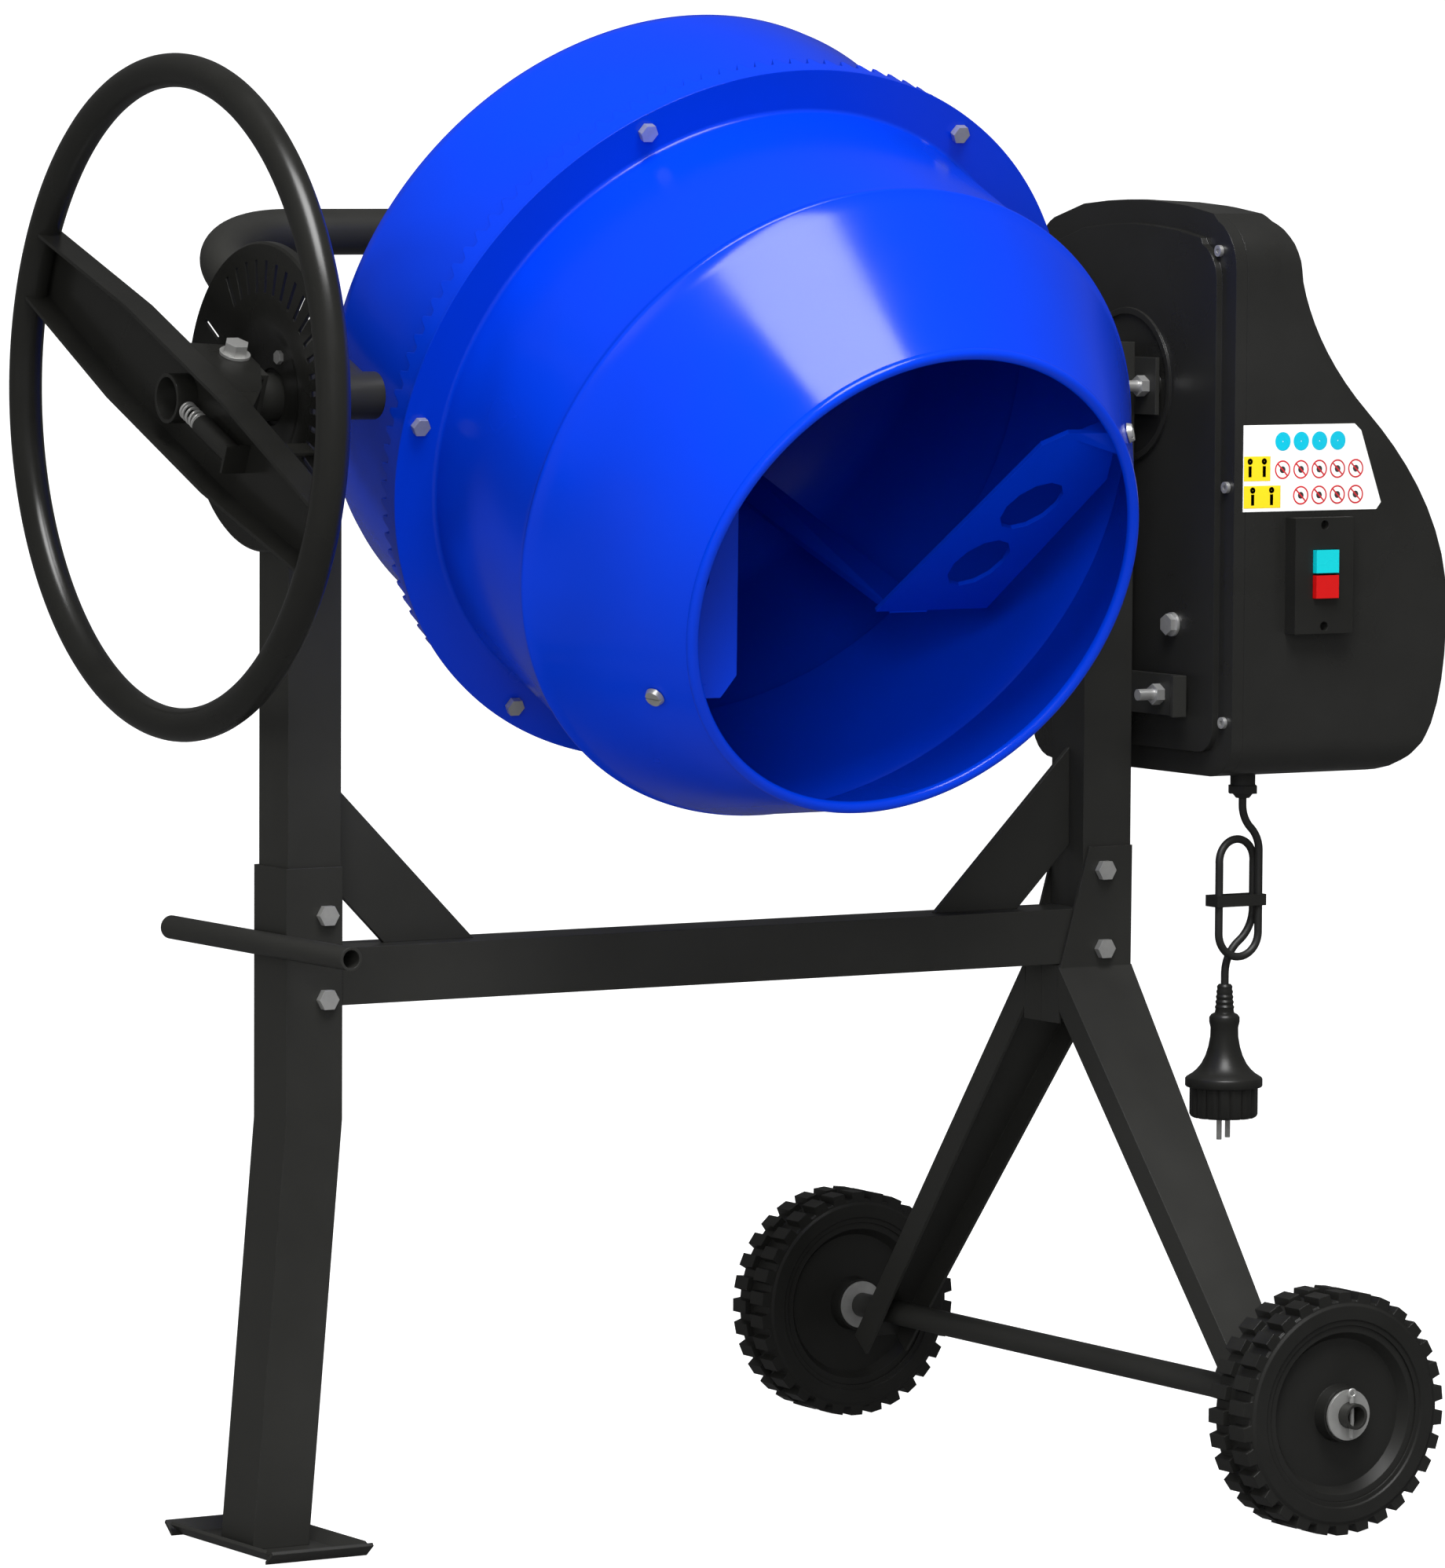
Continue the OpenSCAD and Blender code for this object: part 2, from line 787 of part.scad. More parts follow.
module disc_bolts() {
    color("#b9bab8")
        stand()
            translate([0, 0, tilt_height])
                for (y = [-33, 33])
                    translate([left_face - 3, -y * 0.5, y])
                        rotate([0, 90, 0])
                            bolt(6, 10, 4, 9);
}

module tilt_bushes() {
    color("#3a3a38")
        stand()
            for (x = [left_x, right_x])
                translate([x - post_size / 2, 0, tilt_height])
                    rotate([0, 90, 0])
                        pipe(post_size, yoke_tube + 6, yoke_tube + 2 * running_gap);
}

// ---- yoke ----

module bend(x, y, turn) {
    translate([x, y, 0])
        rotate([0, 0, turn])
            rotate_extrude(angle = 90)
                translate([yoke_bend, 0])
                    circle(d = yoke_tube);
}

module yoke() {
    straight = yoke_back - yoke_bend;
    color("#2c2c2a")
        tilted()
            difference() {
                union() {
                    for (x = [arm_left, arm_right])
                        translate([x, 0, 0])
                            rod_y(0, straight, yoke_tube);
                    bend(arm_right - yoke_bend, straight, 0);
                    bend(arm_left + yoke_bend, straight, 90);
                    translate([0, yoke_back, 0])
                        rod_x(arm_left + yoke_bend, arm_right - yoke_bend, yoke_tube);
                    rod_x(hinge_x + 22, arm_left + yoke_tube / 2, yoke_tube);
                    rod_x(arm_right - yoke_tube / 2, cover_x + 15, yoke_tube);
                }
                rod_x(hinge_x + 20, arm_left + yoke_tube / 2 - 4, yoke_tube - 7);
                rod_x(arm_right - yoke_tube / 2 - 1, cover_x + 16, yoke_tube - 8);
            }
}

module hinge_bracket() {
    wide = 46;
    color("#2c2c2a")
        tilted()
            difference() {
                translate([hinge_x - 16, -wide / 2, -hinge_arm])
                    cube([38, wide, 2 * hinge_arm]);
                translate([hinge_x - 20, -wide / 2 - 1, 4 - hinge_arm])
                    cube([38, wide + 2, 2 * hinge_arm - 8]);
                translate([hinge_x, 0, -50])
                    cylinder(h = 100, d = hinge_diameter);
            }
}

module hinge_bolt() {
    color("#c4c4c0")
        tilted()
            translate([hinge_x, 0, 0]) {
                translate([0, 0, -hinge_arm - 14])
                    cylinder(h = 2 * hinge_arm + 22, d = hinge_diameter);
                translate([0, 0, hinge_arm + 7.6])
                    cylinder(h = 2.4, d = 26);
                translate([0, 0, hinge_arm + 10 - eps])
                    hexagon(18, 9);
                translate([0, 0, -hinge_arm - 14])
                    hexagon(18, 6);
            }
}

module drum_spindle() {
    color("#8f908d")
        drum_axis()
            difference() {
                union() {
                    translate([0, 0, -yoke_back])
                        cylinder(h = yoke_back - rear_depth - 48, d = 64);
                    translate([0, 0, -yoke_back])
                        cylinder(h = yoke_back - rear_depth - 8, d = spindle_diameter);
                }
                translate([0, 0, -yoke_back])
                    rod_x(-100, 100, yoke_tube);
                translate([-60, -60, -yoke_back - 60])
                    cube([120, 120, 60]);
            }
}

module shaft_bushes() {
    color("#b08d4a")
        tilted()
            for (x = [arm_right - yoke_tube / 2 + 2, cover_x - 10])
                translate([x, 0, 0])
                    rotate([0, 90, 0])
                        pipe(22, yoke_tube - 8, shaft_diameter + 2 * running_gap);
}

// ---- handwheel ----

module handwheel_rim() {
    color("#262625")
        tilted()
            translate([rim_x, 0, 0])
                rotate([0, 90, 0])
                    rotate_extrude()
                        translate([handwheel_radius - handwheel_tube / 2, 0])
                            circle(d = handwheel_tube);
}

module spoke_outline(inset) {
    end = handwheel_radius - handwheel_tube / 2 - 6;
    w = spoke_width / 2 - inset;
    m = spoke_middle / 2 - inset;
    polygon([[-end, -w], [-90, -m], [90, -m], [end, -w], [end, w], [90, m], [-90, m], [-end, w]]);
}

module handwheel_spoke() {
    web = rim_x + 11;
    ear = hinge_arm + 4.4;
    color("#262625")
        tilted()
            difference() {
                union() {
                    translate([web - spoke_depth, 0, 0])
                        rotate([90, 0, 90])
                            difference() {
                                linear_extrude(height = spoke_depth + 3)
                                    spoke_outline(0);
                                translate([0, 0, -1])
                                    linear_extrude(height = spoke_depth + 1)
                                        spoke_outline(3);
                            }
                    for (z = [-ear - 3, ear])
                        translate([web, 0, z])
                            linear_extrude(height = 3)
                                polygon([[0, -105], [0, 26], [hinge_x - web + 14, 18],
                                    [hinge_x - web + 14, -20], [hinge_x - web - 4, -60]]);
                    translate([web + 1, -108, -1.3])
                        cube([disc_x - web - 2.4, 18, 2.6]);
                    translate([web - spoke_depth, -116, -12])
                        cube([spoke_depth + 1, 3, 24]);
                }
                translate([hinge_x, 0, -60])
                    cylinder(h = 120, d = hinge_diameter + 4 * running_gap);
                translate([rim_x, 0, 0])
                    rotate([0, 90, 0])
                        rotate_extrude()
                            translate([handwheel_radius - handwheel_tube / 2, 0])
                                circle(d = handwheel_tube);
                rod_x(web - spoke_depth - 5, web + 10, hub_tube - 6);
            }
}

module handwheel_hub() {
    color("#262625")
        tilted()
            translate([rim_x - 7.4, 0, 0])
                rotate([0, 90, 0])
                    pipe(18.4, hub_tube, hub_tube - 6);
}

module return_spring() {
    turns = 5;
    steps = 12;
    start = hub_tube / 2;
    travel = 30;
    coil = [for (i = [0:turns * steps])
        [rim_x + 6.6 * cos(i * 360 / steps) + 1, -start - 1.6 - (travel - 3.2) * i / (turns * steps),
            6.6 * sin(i * 360 / steps)]];
    color("#c9c9c4")
        tilted()
            swept(coil, 2.6, 6);
}

module spring_sleeve() {
    start = hub_tube / 2 + 30;
    color("#1b1b1a")
        tilted()
            translate([rim_x + 1, -start, 0])
                rotate([90, 0, 0])
                    difference() {
                        cylinder(h = 113 - start, d = 18);
                        translate([0, 0, 3])
                            cylinder(h = 120, d = 9);
                    }
}

// ---- drum ----

module drum_rear() {
    t = drum_sheet;
    r = rear_radius;
    color("#0a2fd6")
        drum_axis()
            difference() {
                rotate_extrude($fn = 96)
                    polygon([[0, -rear_depth], [bottom_radius, -rear_depth], [r - 2, -120],
                        [r, 0], [r, ring_back], [flange_radius - 2, ring_back],
                        [flange_radius - 2, ring_back + t], [r - t, ring_back + t], [r - t, 0],
                        [r - 2 - t, t - 120], [bottom_radius - t / 2, t - rear_depth],
                        [0, t - rear_depth]]);
                for (i = [0:5])
                    rotate([0, 0, 60 * i])
                        translate([bolt_ring, 0, ring_back - 1])
                            cylinder(h = t + 2, d = 8);
                for (i = [0, 1])
                    foot_screw_place(i)
                        translate([0, 0, -10])
                            cylinder(h = 20, d = 8);
            }
}

module drum_front() {
    t = drum_sheet;
    s0 = ring_back + t;
    s1 = flange_front;
    b = mouth_bead / 2;
    color("#0a2fd6")
        drum_axis()
            difference() {
                rotate_extrude($fn = 96)
                    polygon(concat(
                        [[front_radius - t, s0], [flange_radius, s0], [flange_radius, s1],
                            [front_radius + 3, s1], [front_radius, s1 + 3],
                            [front_radius, step_place - 8], [step_radius, step_place],
                            [step_radius, step_place + 6]],
                        arc(mouth_radius - b, mouth_place, b, -30, 300, 16),
                        [[step_radius - t, step_place + 5], [step_radius - t, step_place],
                            [front_radius - t, step_place - 7]]));
                for (i = [0:5])
                    rotate([0, 0, 60 * i])
                        translate([bolt_ring, 0, s0 - 1])
                            cylinder(h = t + 2, d = 8);
                for (i = [0, 1])
                    blade_screw_place(i)
                        translate([0, 0, -10])
                            cylinder(h = 20, d = 8);
            }
}

// Crown of straight teeth that point towards the rear, with its backing ring
module ring_gear() {
    n = ring_teeth;
    step = 360 / n;
    pitch = 2 * PI * ring_radius / n;
    per_mm = step / pitch;
    half = pitch / 4 - tooth_play;
    tip = (half - tooth_top * tan(tooth_angle)) * per_mm;
    root = (half + tooth_root * tan(tooth_angle)) * per_mm;
    s_tip = pitch_radius - tooth_top;
    s_root = pitch_radius + tooth_root;
    r0 = rear_radius + 2.5;
    r1 = ring_radius + 9;
    cols = [for (i = [0:n - 1]) for (p = [[-root, s_root], [-tip, s_tip], [tip, s_tip],
        [root, s_root]]) [i * step + p[0], p[1]]];
    m = len(cols);
    points = [for (c = cols) for (p = [[r0, c[1]], [r1, c[1]], [r1, ring_back], [r0, ring_back]])
        [p[0] * cos(c[0]), p[0] * sin(c[0]), p[1]]];
    faces = [for (i = [0:m - 1]) let (a = 4 * i, b = 4 * ((i + 1) % m)) for (f = [
        [a, a + 1, b], [a + 1, b + 1, b], [a + 1, a + 2, b + 2, b + 1],
        [a + 2, a + 3, b + 3, b + 2], [a + 3, a, b, b + 3]]) f];
    color("#0a2fd6")
        drum_axis()
            difference() {
                polyhedron(points = points, faces = faces);
                for (i = [0:5])
                    rotate([0, 0, 60 * i])
                        translate([bolt_ring, 0, ring_back - 11])
                            cylinder(h = 20, d = 8);
            }
}

module drum_bolts() {
    color("#c4c4c0")
        drum_axis()
            for (i = [0:5])
                rotate([0, 0, 60 * i])
                    translate([bolt_ring, 0, flange_front])
                        rotate([180, 0, 0])
                            bolt(8, 14, 6, 15);
}

// Frame of a blade screw on the front cone: +Z points out of the drum
module blade_screw_place(i) {
    rotate([0, 0, 30 + 180 * i])
        translate([blade_screw_r, 0, blade_screw_s])
            rotate([0, 90 - cone_angle, 0])
                children();
}

// Frame of a foot screw on the rear cone: +Z points out of the drum
module foot_screw_place(i) {
    rotate([0, 0, -46 + 180 * i])
        translate([foot_screw_r, 0, foot_screw_s])
            rotate([0, 90 + atan(back_slope), 0])
                children();
}

module blade(i) {
    difference() {
        union() {
            rotate([0, 0, 180 * i])
                translate([0, blade_foot_y, 184])
                    rotate([blade_lean, 0, 0])
                        linear_extrude(height = blade_sheet)
                            difference() {
                                polygon([[98, 0], [98 + blade_width, 0], [tip_x + 30, 205],
                                    [tip_x, blade_length], [tip_x - 49, blade_length],
                                    [tip_x - 66, blade_length - 18]]);
                                for (y = [75, 165])
                                    translate([158 + y / 25, y])
                                        scale([1, 1.45])
                                            circle(d = 50, $fn = 12);
                            }
            hull() {
                rotate([0, 0, 180 * i])
                    translate([112, -121, 181])
                        cube([38, 6, 6]);
                foot_screw_place(i)
                    translate([-18, -15, -drum_sheet - 5.7])
                        cube([7, 30, 3.4]);
            }
            hull() {
                rotate([0, 0, 180 * i])
                    translate([0, blade_foot_y, 184])
                        rotate([blade_lean, 0, 0])
                            translate([tip_x - 38, blade_length - 11, 0.5])
                                cube([36, 10, blade_sheet - 1]);
                blade_screw_place(i)
                    translate([-14, -12, -drum_sheet - 4.6])
                        cube([28, 24, 4]);
            }
            foot_screw_place(i)
                translate([-15, -16, -drum_sheet - 6])
                    cube([32, 32, 4]);
        }
        blade_screw_place(i)
            translate([0, 0, -20])
                cylinder(h = 30, d = 8);
        foot_screw_place(i)
            translate([0, 0, -20])
                cylinder(h = 30, d = 8);
    }
}

module mixing_blades() {
    color("#0a2fd6")
        drum_axis() {
            blade(0);
            blade(1);
        }
}

module pan_screw() {
    difference() {
        union() {
            translate([0, 0, 0.3])
                cylinder(h = 4.2, d1 = 17, d2 = 14);
            translate([0, 0, -drum_sheet - 7])
                cylinder(h = drum_sheet + 8, d = 8);
        }
        translate([-10, -0.9, 2.8])
            cube([20, 1.8, 5]);
    }
}

module blade_screws() {
    color("#c4c4c0")
        drum_axis()
            for (i = [0, 1]) {
                blade_screw_place(i)
                    pan_screw();
                foot_screw_place(i)
                    pan_screw();
            }
}

module drum_hub() {
    color("#2c2c2a")
        drum_axis()
            translate([0, 0, -rear_depth])
                rotate_extrude()
                    polygon([[0, 0], [75, 0], [75, -5], [31, -6], [31, -46],
                        [spindle_diameter / 2 + running_gap, -46],
                        [spindle_diameter / 2 + running_gap, -7], [0, -7]]);
}

// ---- drive ----

module pinion_shaft() {
    color("#a5a6a3")
        tilted() {
            rod_x(drum_shift + ring_radius - 9, pulley_x + pulley_width + 8, shaft_diameter);
        }
}

module pinion() {
    n = pinion_teeth;
    base = pitch_radius * cos(tooth_angle);
    top = pitch_radius + tooth_top;
    low = pitch_radius - tooth_root;
    play = tooth_play * 0.5 / pitch_radius * 180 / PI;
    half = 90 / n + involute(tooth_angle) - play;
    radii = [low, base, base + (top - base) / 4, base + (top - base) / 2,
        base + (top - base) * 3 / 4, top];
    sides = [for (r = radii) [r, half - roll(max(r, base), base)]];
    k = len(sides) - 1;
    points = [for (i = [0:n - 1]) let (a = (i + 0.5) * 360 / n) for (p = concat(
        [for (s = sides) [s[0], -s[1]]], [for (j = [k:-1:0]) [sides[j][0], sides[j][1]]]))
        [p[0] * cos(a + p[1]), p[0] * sin(a + p[1])]];
    color("#8f908d")
        tilted()
            translate([drum_shift + ring_radius - 8, 0, 0])
                rotate([0, 90, 0])
                    rotate([0, 0, -90])
                        difference() {
                            linear_extrude(height = 16)
                                polygon(points);
                            translate([0, 0, -1])
                                cylinder(h = 18, d = shaft_diameter);
                        }
}

module large_pulley() {
    r = pulley_diameter / 2;
    hub = shaft_diameter / 2;
    w = pulley_width;
    color("#77787a")
        tilted()
            translate([pulley_x, 0, 0])
                rotate([0, 90, 0])
                    difference() {
                        rotate_extrude()
                            polygon([[hub, -4], [22, -4], [22, w / 2 - 3], [r - 12, w / 2 - 3],
                                [r - 12, 0], [r + 3, 0], [r + 3, 2], [r, 2], [r, w - 2],
                                [r + 3, w - 2], [r + 3, w], [r - 12, w], [r - 12, w / 2 + 3],
                                [22, w / 2 + 3], [22, w + 4], [hub, w + 4]]);
                        for (i = [0:4])
                            rotate([0, 0, 72 * i])
                                translate([pulley_diameter / 4 + 5, 0, -5])
                                    cylinder(h = 40, d = 42);
                    }
}

module motor_pulley() {
    r = motor_pulley_diameter / 2;
    w = pulley_width;
    color("#a5a6a3")
        stand()
            translate([pulley_x, 0, motor_height])
                rotate([0, 90, 0]) {
                    rotate_extrude()
                        polygon([[0, 0], [r + 3, 0], [r + 3, 2], [r, 2], [r, w - 2], [r + 3, w - 2],
                            [r + 3, w], [7, w], [7, motor_x - pulley_x + 8],
                            [0, motor_x - pulley_x + 8]]);
                }
}

module motor_body() {
    color("#53565a")
        stand()
            difference() {
                union() {
                    translate([0, 0, motor_height])
                        rod_x(motor_x, motor_x + motor_length, motor_diameter);
                    translate([motor_x, -ear_y, motor_height - 14])
                        cube([12, 2 * ear_y, 28]);
                    for (y = [-ear_y, ear_y])
                        translate([0, y, ear_height])
                            rod_x(panel_x + 2.5, motor_x + 12, 20);
                }
                translate([0, 0, motor_height])
                    rod_x(motor_x - 1, motor_x + 9, 14 + 2 * running_gap);
                for (y = [-ear_y, ear_y])
                    translate([0, y, ear_height])
                        rod_x(panel_x, panel_x + 30, bolt_diameter);
            }
}

module drive_belt() {
    gap = tilt_height - motor_height;
    big = pulley_diameter / 2;
    small = motor_pulley_diameter / 2;
    a = asin((big - small) / gap);
    color("#1b1b1a")
        stand()
            translate([pulley_x + 2.5, 0, motor_height])
                rotate([90, 0, 90])
                    linear_extrude(height = pulley_width - 5)
                        difference() {
                            polygon(concat(arc(0, gap, big + 3.6, -a, 180 + a, 48),
                                arc(0, 0, small + 3.6, 180 + a, 360 - a, 16)));
                            polygon(concat(arc(0, gap, big + 0.6, -a, 180 + a, 48),
                                arc(0, 0, small + 0.6, 180 + a, 360 - a, 16)));
                        }
}

// ---- housing ----

module stud_places() {
    for (y = [-40, 40])
        translate([0, y, tilt_height])
            children();
    for (y = [-68, 68])
        translate([0, y, motor_height - 61])
            children();
}

module screw_places() {
    for (side = [-1, 1])
        for (p = [[housing_half - 24, housing_top - 43], [housing_half - 10.5, switch_z + 77],
            [housing_half - 12, housing_bottom + 48]])
            translate([0, side * p[0], p[1]])
                children();
}

module inner_cover() {
    color("#1f1f1f")
        stand()
            difference() {
                union() {
                    housing_plate(0, cover_x, seam_x);
                    housing_plate(21, panel_x, cover_x + 1);
                    difference() {
                        translate([0, 0, tilt_height])
                            rod_x(panel_x - 2.5, panel_x + 1, 2 * emboss_radius);
                        translate([0, 0, tilt_height])
                            rod_x(panel_x - 4, panel_x, 2 * emboss_radius - 11);
                    }
                    stud_places()
                        rod_x(right_face + 4, panel_x + 1, 24);
                }
                housing_plate(2.5, cover_x + 2.5, seam_x + 1);
                housing_plate(23.5, panel_x + 2.5, cover_x + 3);
                translate([0, 0, tilt_height])
                    rod_x(panel_x - 5, cover_x, yoke_tube + 4);
                stud_places()
                    rod_x(right_face, cover_x, bolt_diameter);
                for (y = [-ear_y, ear_y])
                    translate([0, y, ear_height])
                        rod_x(panel_x - 5, cover_x, bolt_diameter);
                screw_places()
                    rod_x(cover_x - 1, cover_x + 10, 5);
                translate([lead_x, lead_y, housing_bottom])
                    cylinder(h = 60, d = 16);
            }
}

module outer_cover() {
    color("#1f1f1f")
        stand()
            difference() {
                union() {
                    difference() {
                        intersection() {
                            housing_plate(0, seam_x, back_x + 5);
                            cover_profile(0);
                        }
                        intersection() {
                            housing_plate(cover_wall, seam_x - 1, back_x + 5);
                            cover_profile(cover_wall);
                        }
                    }
                    intersection() {
                        screw_places()
                            rod_x(cover_x + 2.5, cover_x + 34, 34);
                        housing_plate(2.6, cover_x, cover_x + 40);
                    }
                }
                screw_places()
                    rod_x(cover_x, cover_x + 22, 5);
                translate([lead_x, lead_y, housing_bottom - 1])
                    cylinder(h = 40, d = 16);
            }
}

module cover_screws() {
    color("#c4c4c0")
        stand()
            screw_places()
                difference() {
                    union() {
                        rod_x(cover_x - 3.4, cover_x, 10);
                        rod_x(cover_x - 1, cover_x + 20, 5);
                    }
                    translate([cover_x - 4, 0, 0])
                        rotate([0, 90, 0])
                            hexagon(4, 3);
                }
}

module housing_brackets() {
    color("#2c2c2a")
        stand()
            difference() {
                union() {
                    translate([right_face, -57, tilt_height - 25])
                        cube([4, 114, 50]);
                    translate([right_face, -103, housing_bottom + 51])
                        cube([4, 206, 36]);
                    for (y = [-103, 99])
                        translate([right_face - 10, y, housing_bottom + 51])
                            cube([11, 4, 36]);
                }
                translate([0, 0, tilt_height])
                    rod_x(right_face - 1, right_face + 5, yoke_tube + 4);
                stud_places()
                    rod_x(right_face - 1, right_face + 5, bolt_diameter);
            }
}

module housing_bolts() {
    color("#b9bab8")
        stand()
            stud_places()
                translate([panel_x + 2.5, 0, 0])
                    rotate([0, -90, 0])
                        bolt(bolt_diameter, bolt_flats, 6, 36);
}

module housing_nuts() {
    color("#b9bab8")
        stand()
            stud_places()
                translate([right_face - 8, 0, 0])
                    rotate([0, 90, 0])
                        nut(bolt_diameter, bolt_flats, 8);
}

module motor_bolts() {
    color("#b9bab8")
        stand()
            for (y = [-ear_y, ear_y])
                translate([panel_x, y, ear_height])
                    rotate([0, 90, 0]) {
                        bolt(bolt_diameter, bolt_flats, 8, 28);
                        translate([0, 0, -2.4])
                            cylinder(h = 2.4, d = 21);
                    }
}

module warning_label() {
    low = cover_x + 9;
    color("#f2f2ee")
        stand()
            translate([0, face_y, 0])
                rotate([90, 0, 0])
                    linear_extrude(height = 0.6)
                        polygon([[low, label_z], [low + 142, label_z], [low + 147, label_z + 6],
                            [low + 125, label_z + 69], [low + 118, label_z + 75],
                            [low, label_z + 75]]);
}

// ---- switch and lead ----

module switch_box() {
    color("#2a2a29")
        stand()
            translate([switch_x, face_y, switch_z])
                difference() {
                    translate([-switch_width / 2, -switch_depth, -switch_height / 2])
                        cube([switch_width, switch_depth, switch_height]);
                    for (z = [teal_z, red_z])
                        translate([-button_width / 2 - button_gap, -switch_depth - 1,
                            z - switch_z - button_height / 2 - button_gap])
                            cube([button_width + 2 * button_gap, switch_depth - 1,
                                button_height + 2 * button_gap]);
                    for (z = [-44, 44])
                        translate([0, 0, z])
                            rod_y(-switch_depth - 1, -switch_depth + 7, 8);
                }
}

module push_button(z) {
    stand()
        translate([switch_x - button_width / 2, face_y - switch_depth - button_out,
            z - button_height / 2])
            cube([button_width, button_out + switch_depth - button_travel - 3.2, button_height]);
}

module start_button() {
    color("#18c8d0")
        push_button(teal_z);
}

module stop_button() {
    color("#d01818")
        push_button(red_z);
}

module cable_gland() {
    color("#1b1b1a")
        stand()
            translate([lead_x, lead_y, housing_bottom]) {
                difference() {
                    union() {
                        translate([0, 0, -12])
                            cylinder(h = 12, d = 22);
                        translate([0, 0, -1])
                            cylinder(h = 8, d = 16);
                        translate([0, 0, -18])
                            hexagon(24, 7);
                        translate([0, 0, -22])
                            cylinder(h = 5, d1 = 12, d2 = 20);
                    }
                    translate([0, 0, -30])
                        cylinder(h = 60, d = lead_diameter);
                }
            }
}

module mains_lead() {
    color("#1b1b1a")
        stand()
            translate([lead_x, lead_y, lead_low]) {
                swept(lead_top, lead_diameter, 8);
                swept(lead_tail, lead_diameter, 8);
            }
}

module lead_hank() {
    w = lead_fold / 2;
    color("#1b1b1a")
        stand()
            translate([lead_x - 3, lead_y - lead_diameter / 2 + lead_thick, 0])
                rotate([90, 0, 0])
                    linear_extrude(height = lead_thick)
                        polygon(concat(arc(0, lead_low + 110 - w, w, 0, 180, 12),
                            arc(0, lead_low + w, w, 180, 360, 12)));
}

module lead_tie() {
    color("#1b1b1a")
        stand()
            translate([lead_x - 3, lead_y - lead_diameter / 2, lead_low + 48])
                difference() {
                    translate([-lead_fold / 2 - 1.5, -1.5, 0])
                        cube([lead_fold + 3, lead_thick + 3, 10]);
                    translate([-lead_fold / 2, 0, -1])
                        cube([lead_fold, lead_thick, 12]);
                }
}

module plug_body() {
    color("#1b1b1a")
        stand()
            translate([plug_x, plug_y, plug_z])
                difference() {
                    rotate_extrude()
                        polygon([[0, 0], [plug_body_diameter / 2 - 2, 0],
                            [plug_body_diameter / 2, 3], [plug_body_diameter / 2, 28],
                            [plug_flange / 2, 28], [plug_flange / 2, 35], [22, 44], [15, 58],
                            [12, 72], [13, 88], [11, 91], [8, 93], [7, 115], [5.5, 117], [0, 117]]);
                    translate([0, 0, 105])
                        cylinder(h = 20, d = lead_diameter);
                    for (i = [-0.5, 0.5])
                        rotate([0, 0, plug_turn])
                            translate([i * pin_spacing, 0, -1])
                                cylinder(h = 12, d = pin_diameter - 1);
                }
}

module plug_pins() {
    color("#c4c4c0")
        stand()
            translate([plug_x, plug_y, plug_z])
                for (i = [-0.5, 0.5])
                    rotate([0, 0, plug_turn])
                        translate([i * pin_spacing, 0, -19]) {
                            cylinder(h = 19, d = pin_diameter);
                            cylinder(h = 30, d = pin_diameter - 1);
                        }
}

left_post();
right_post();
bottom_beam();
frame_braces();
support_leg();
foot_tray();
transport_handle();
wheel_legs();
frame_bolts();
frame_nuts();
axle_tube();
axle_washers();
cotter_pins();
lock_disc();
disc_bolts();
tilt_bushes();
inner_cover();
outer_cover();
cover_screws();
housing_brackets();
housing_bolts();
housing_nuts();
motor_bolts();
motor_body();
drive_belt();
switch_box();
warning_label();
cable_gland();
mains_lead();
lead_hank();
lead_tie();
plug_body();
plug_pins();
yoke();
hinge_bracket();
hinge_bolt();
drum_spindle();
shaft_bushes();
handwheel_rim();
handwheel_spoke();
handwheel_hub();
return_spring();
spring_sleeve();
drum_rear();
drum_front();
ring_gear();
drum_bolts();
mixing_blades();
blade_screws();
drum_hub();
pinion_shaft();
pinion();
large_pulley();
motor_pulley();
front_tyre();
front_wheel_disc();
rear_tyre();
rear_wheel_disc();
start_button();
stop_button();
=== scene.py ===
"""Looks of a tilting-drum concrete mixer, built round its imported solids."""

import json
import logging
import math
from dataclasses import dataclass, field
from enum import Enum
from typing import Iterable, Sequence

import bmesh
import bpy
import numpy as np
from mathutils import Matrix, Vector

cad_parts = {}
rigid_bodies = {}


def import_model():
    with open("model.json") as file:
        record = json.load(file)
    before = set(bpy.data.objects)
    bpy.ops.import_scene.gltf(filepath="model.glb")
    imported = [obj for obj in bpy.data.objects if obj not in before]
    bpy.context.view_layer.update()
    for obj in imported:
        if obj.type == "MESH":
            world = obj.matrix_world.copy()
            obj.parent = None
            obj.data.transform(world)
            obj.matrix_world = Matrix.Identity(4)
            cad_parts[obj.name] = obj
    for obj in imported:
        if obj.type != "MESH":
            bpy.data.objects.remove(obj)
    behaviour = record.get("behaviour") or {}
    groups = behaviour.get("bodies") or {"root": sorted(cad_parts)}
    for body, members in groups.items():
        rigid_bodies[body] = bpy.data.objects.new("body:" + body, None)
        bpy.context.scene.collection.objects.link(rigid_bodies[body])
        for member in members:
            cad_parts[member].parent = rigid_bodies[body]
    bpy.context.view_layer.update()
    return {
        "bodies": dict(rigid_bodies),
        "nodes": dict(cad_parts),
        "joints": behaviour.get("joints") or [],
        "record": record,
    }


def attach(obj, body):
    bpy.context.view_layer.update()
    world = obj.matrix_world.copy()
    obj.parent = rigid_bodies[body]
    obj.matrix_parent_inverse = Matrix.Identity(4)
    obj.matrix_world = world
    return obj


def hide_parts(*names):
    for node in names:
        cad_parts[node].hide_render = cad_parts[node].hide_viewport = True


log = logging.getLogger("mixer")
Colour = tuple[float, float, float]
Shell = tuple[np.ndarray, list[list[int]]]

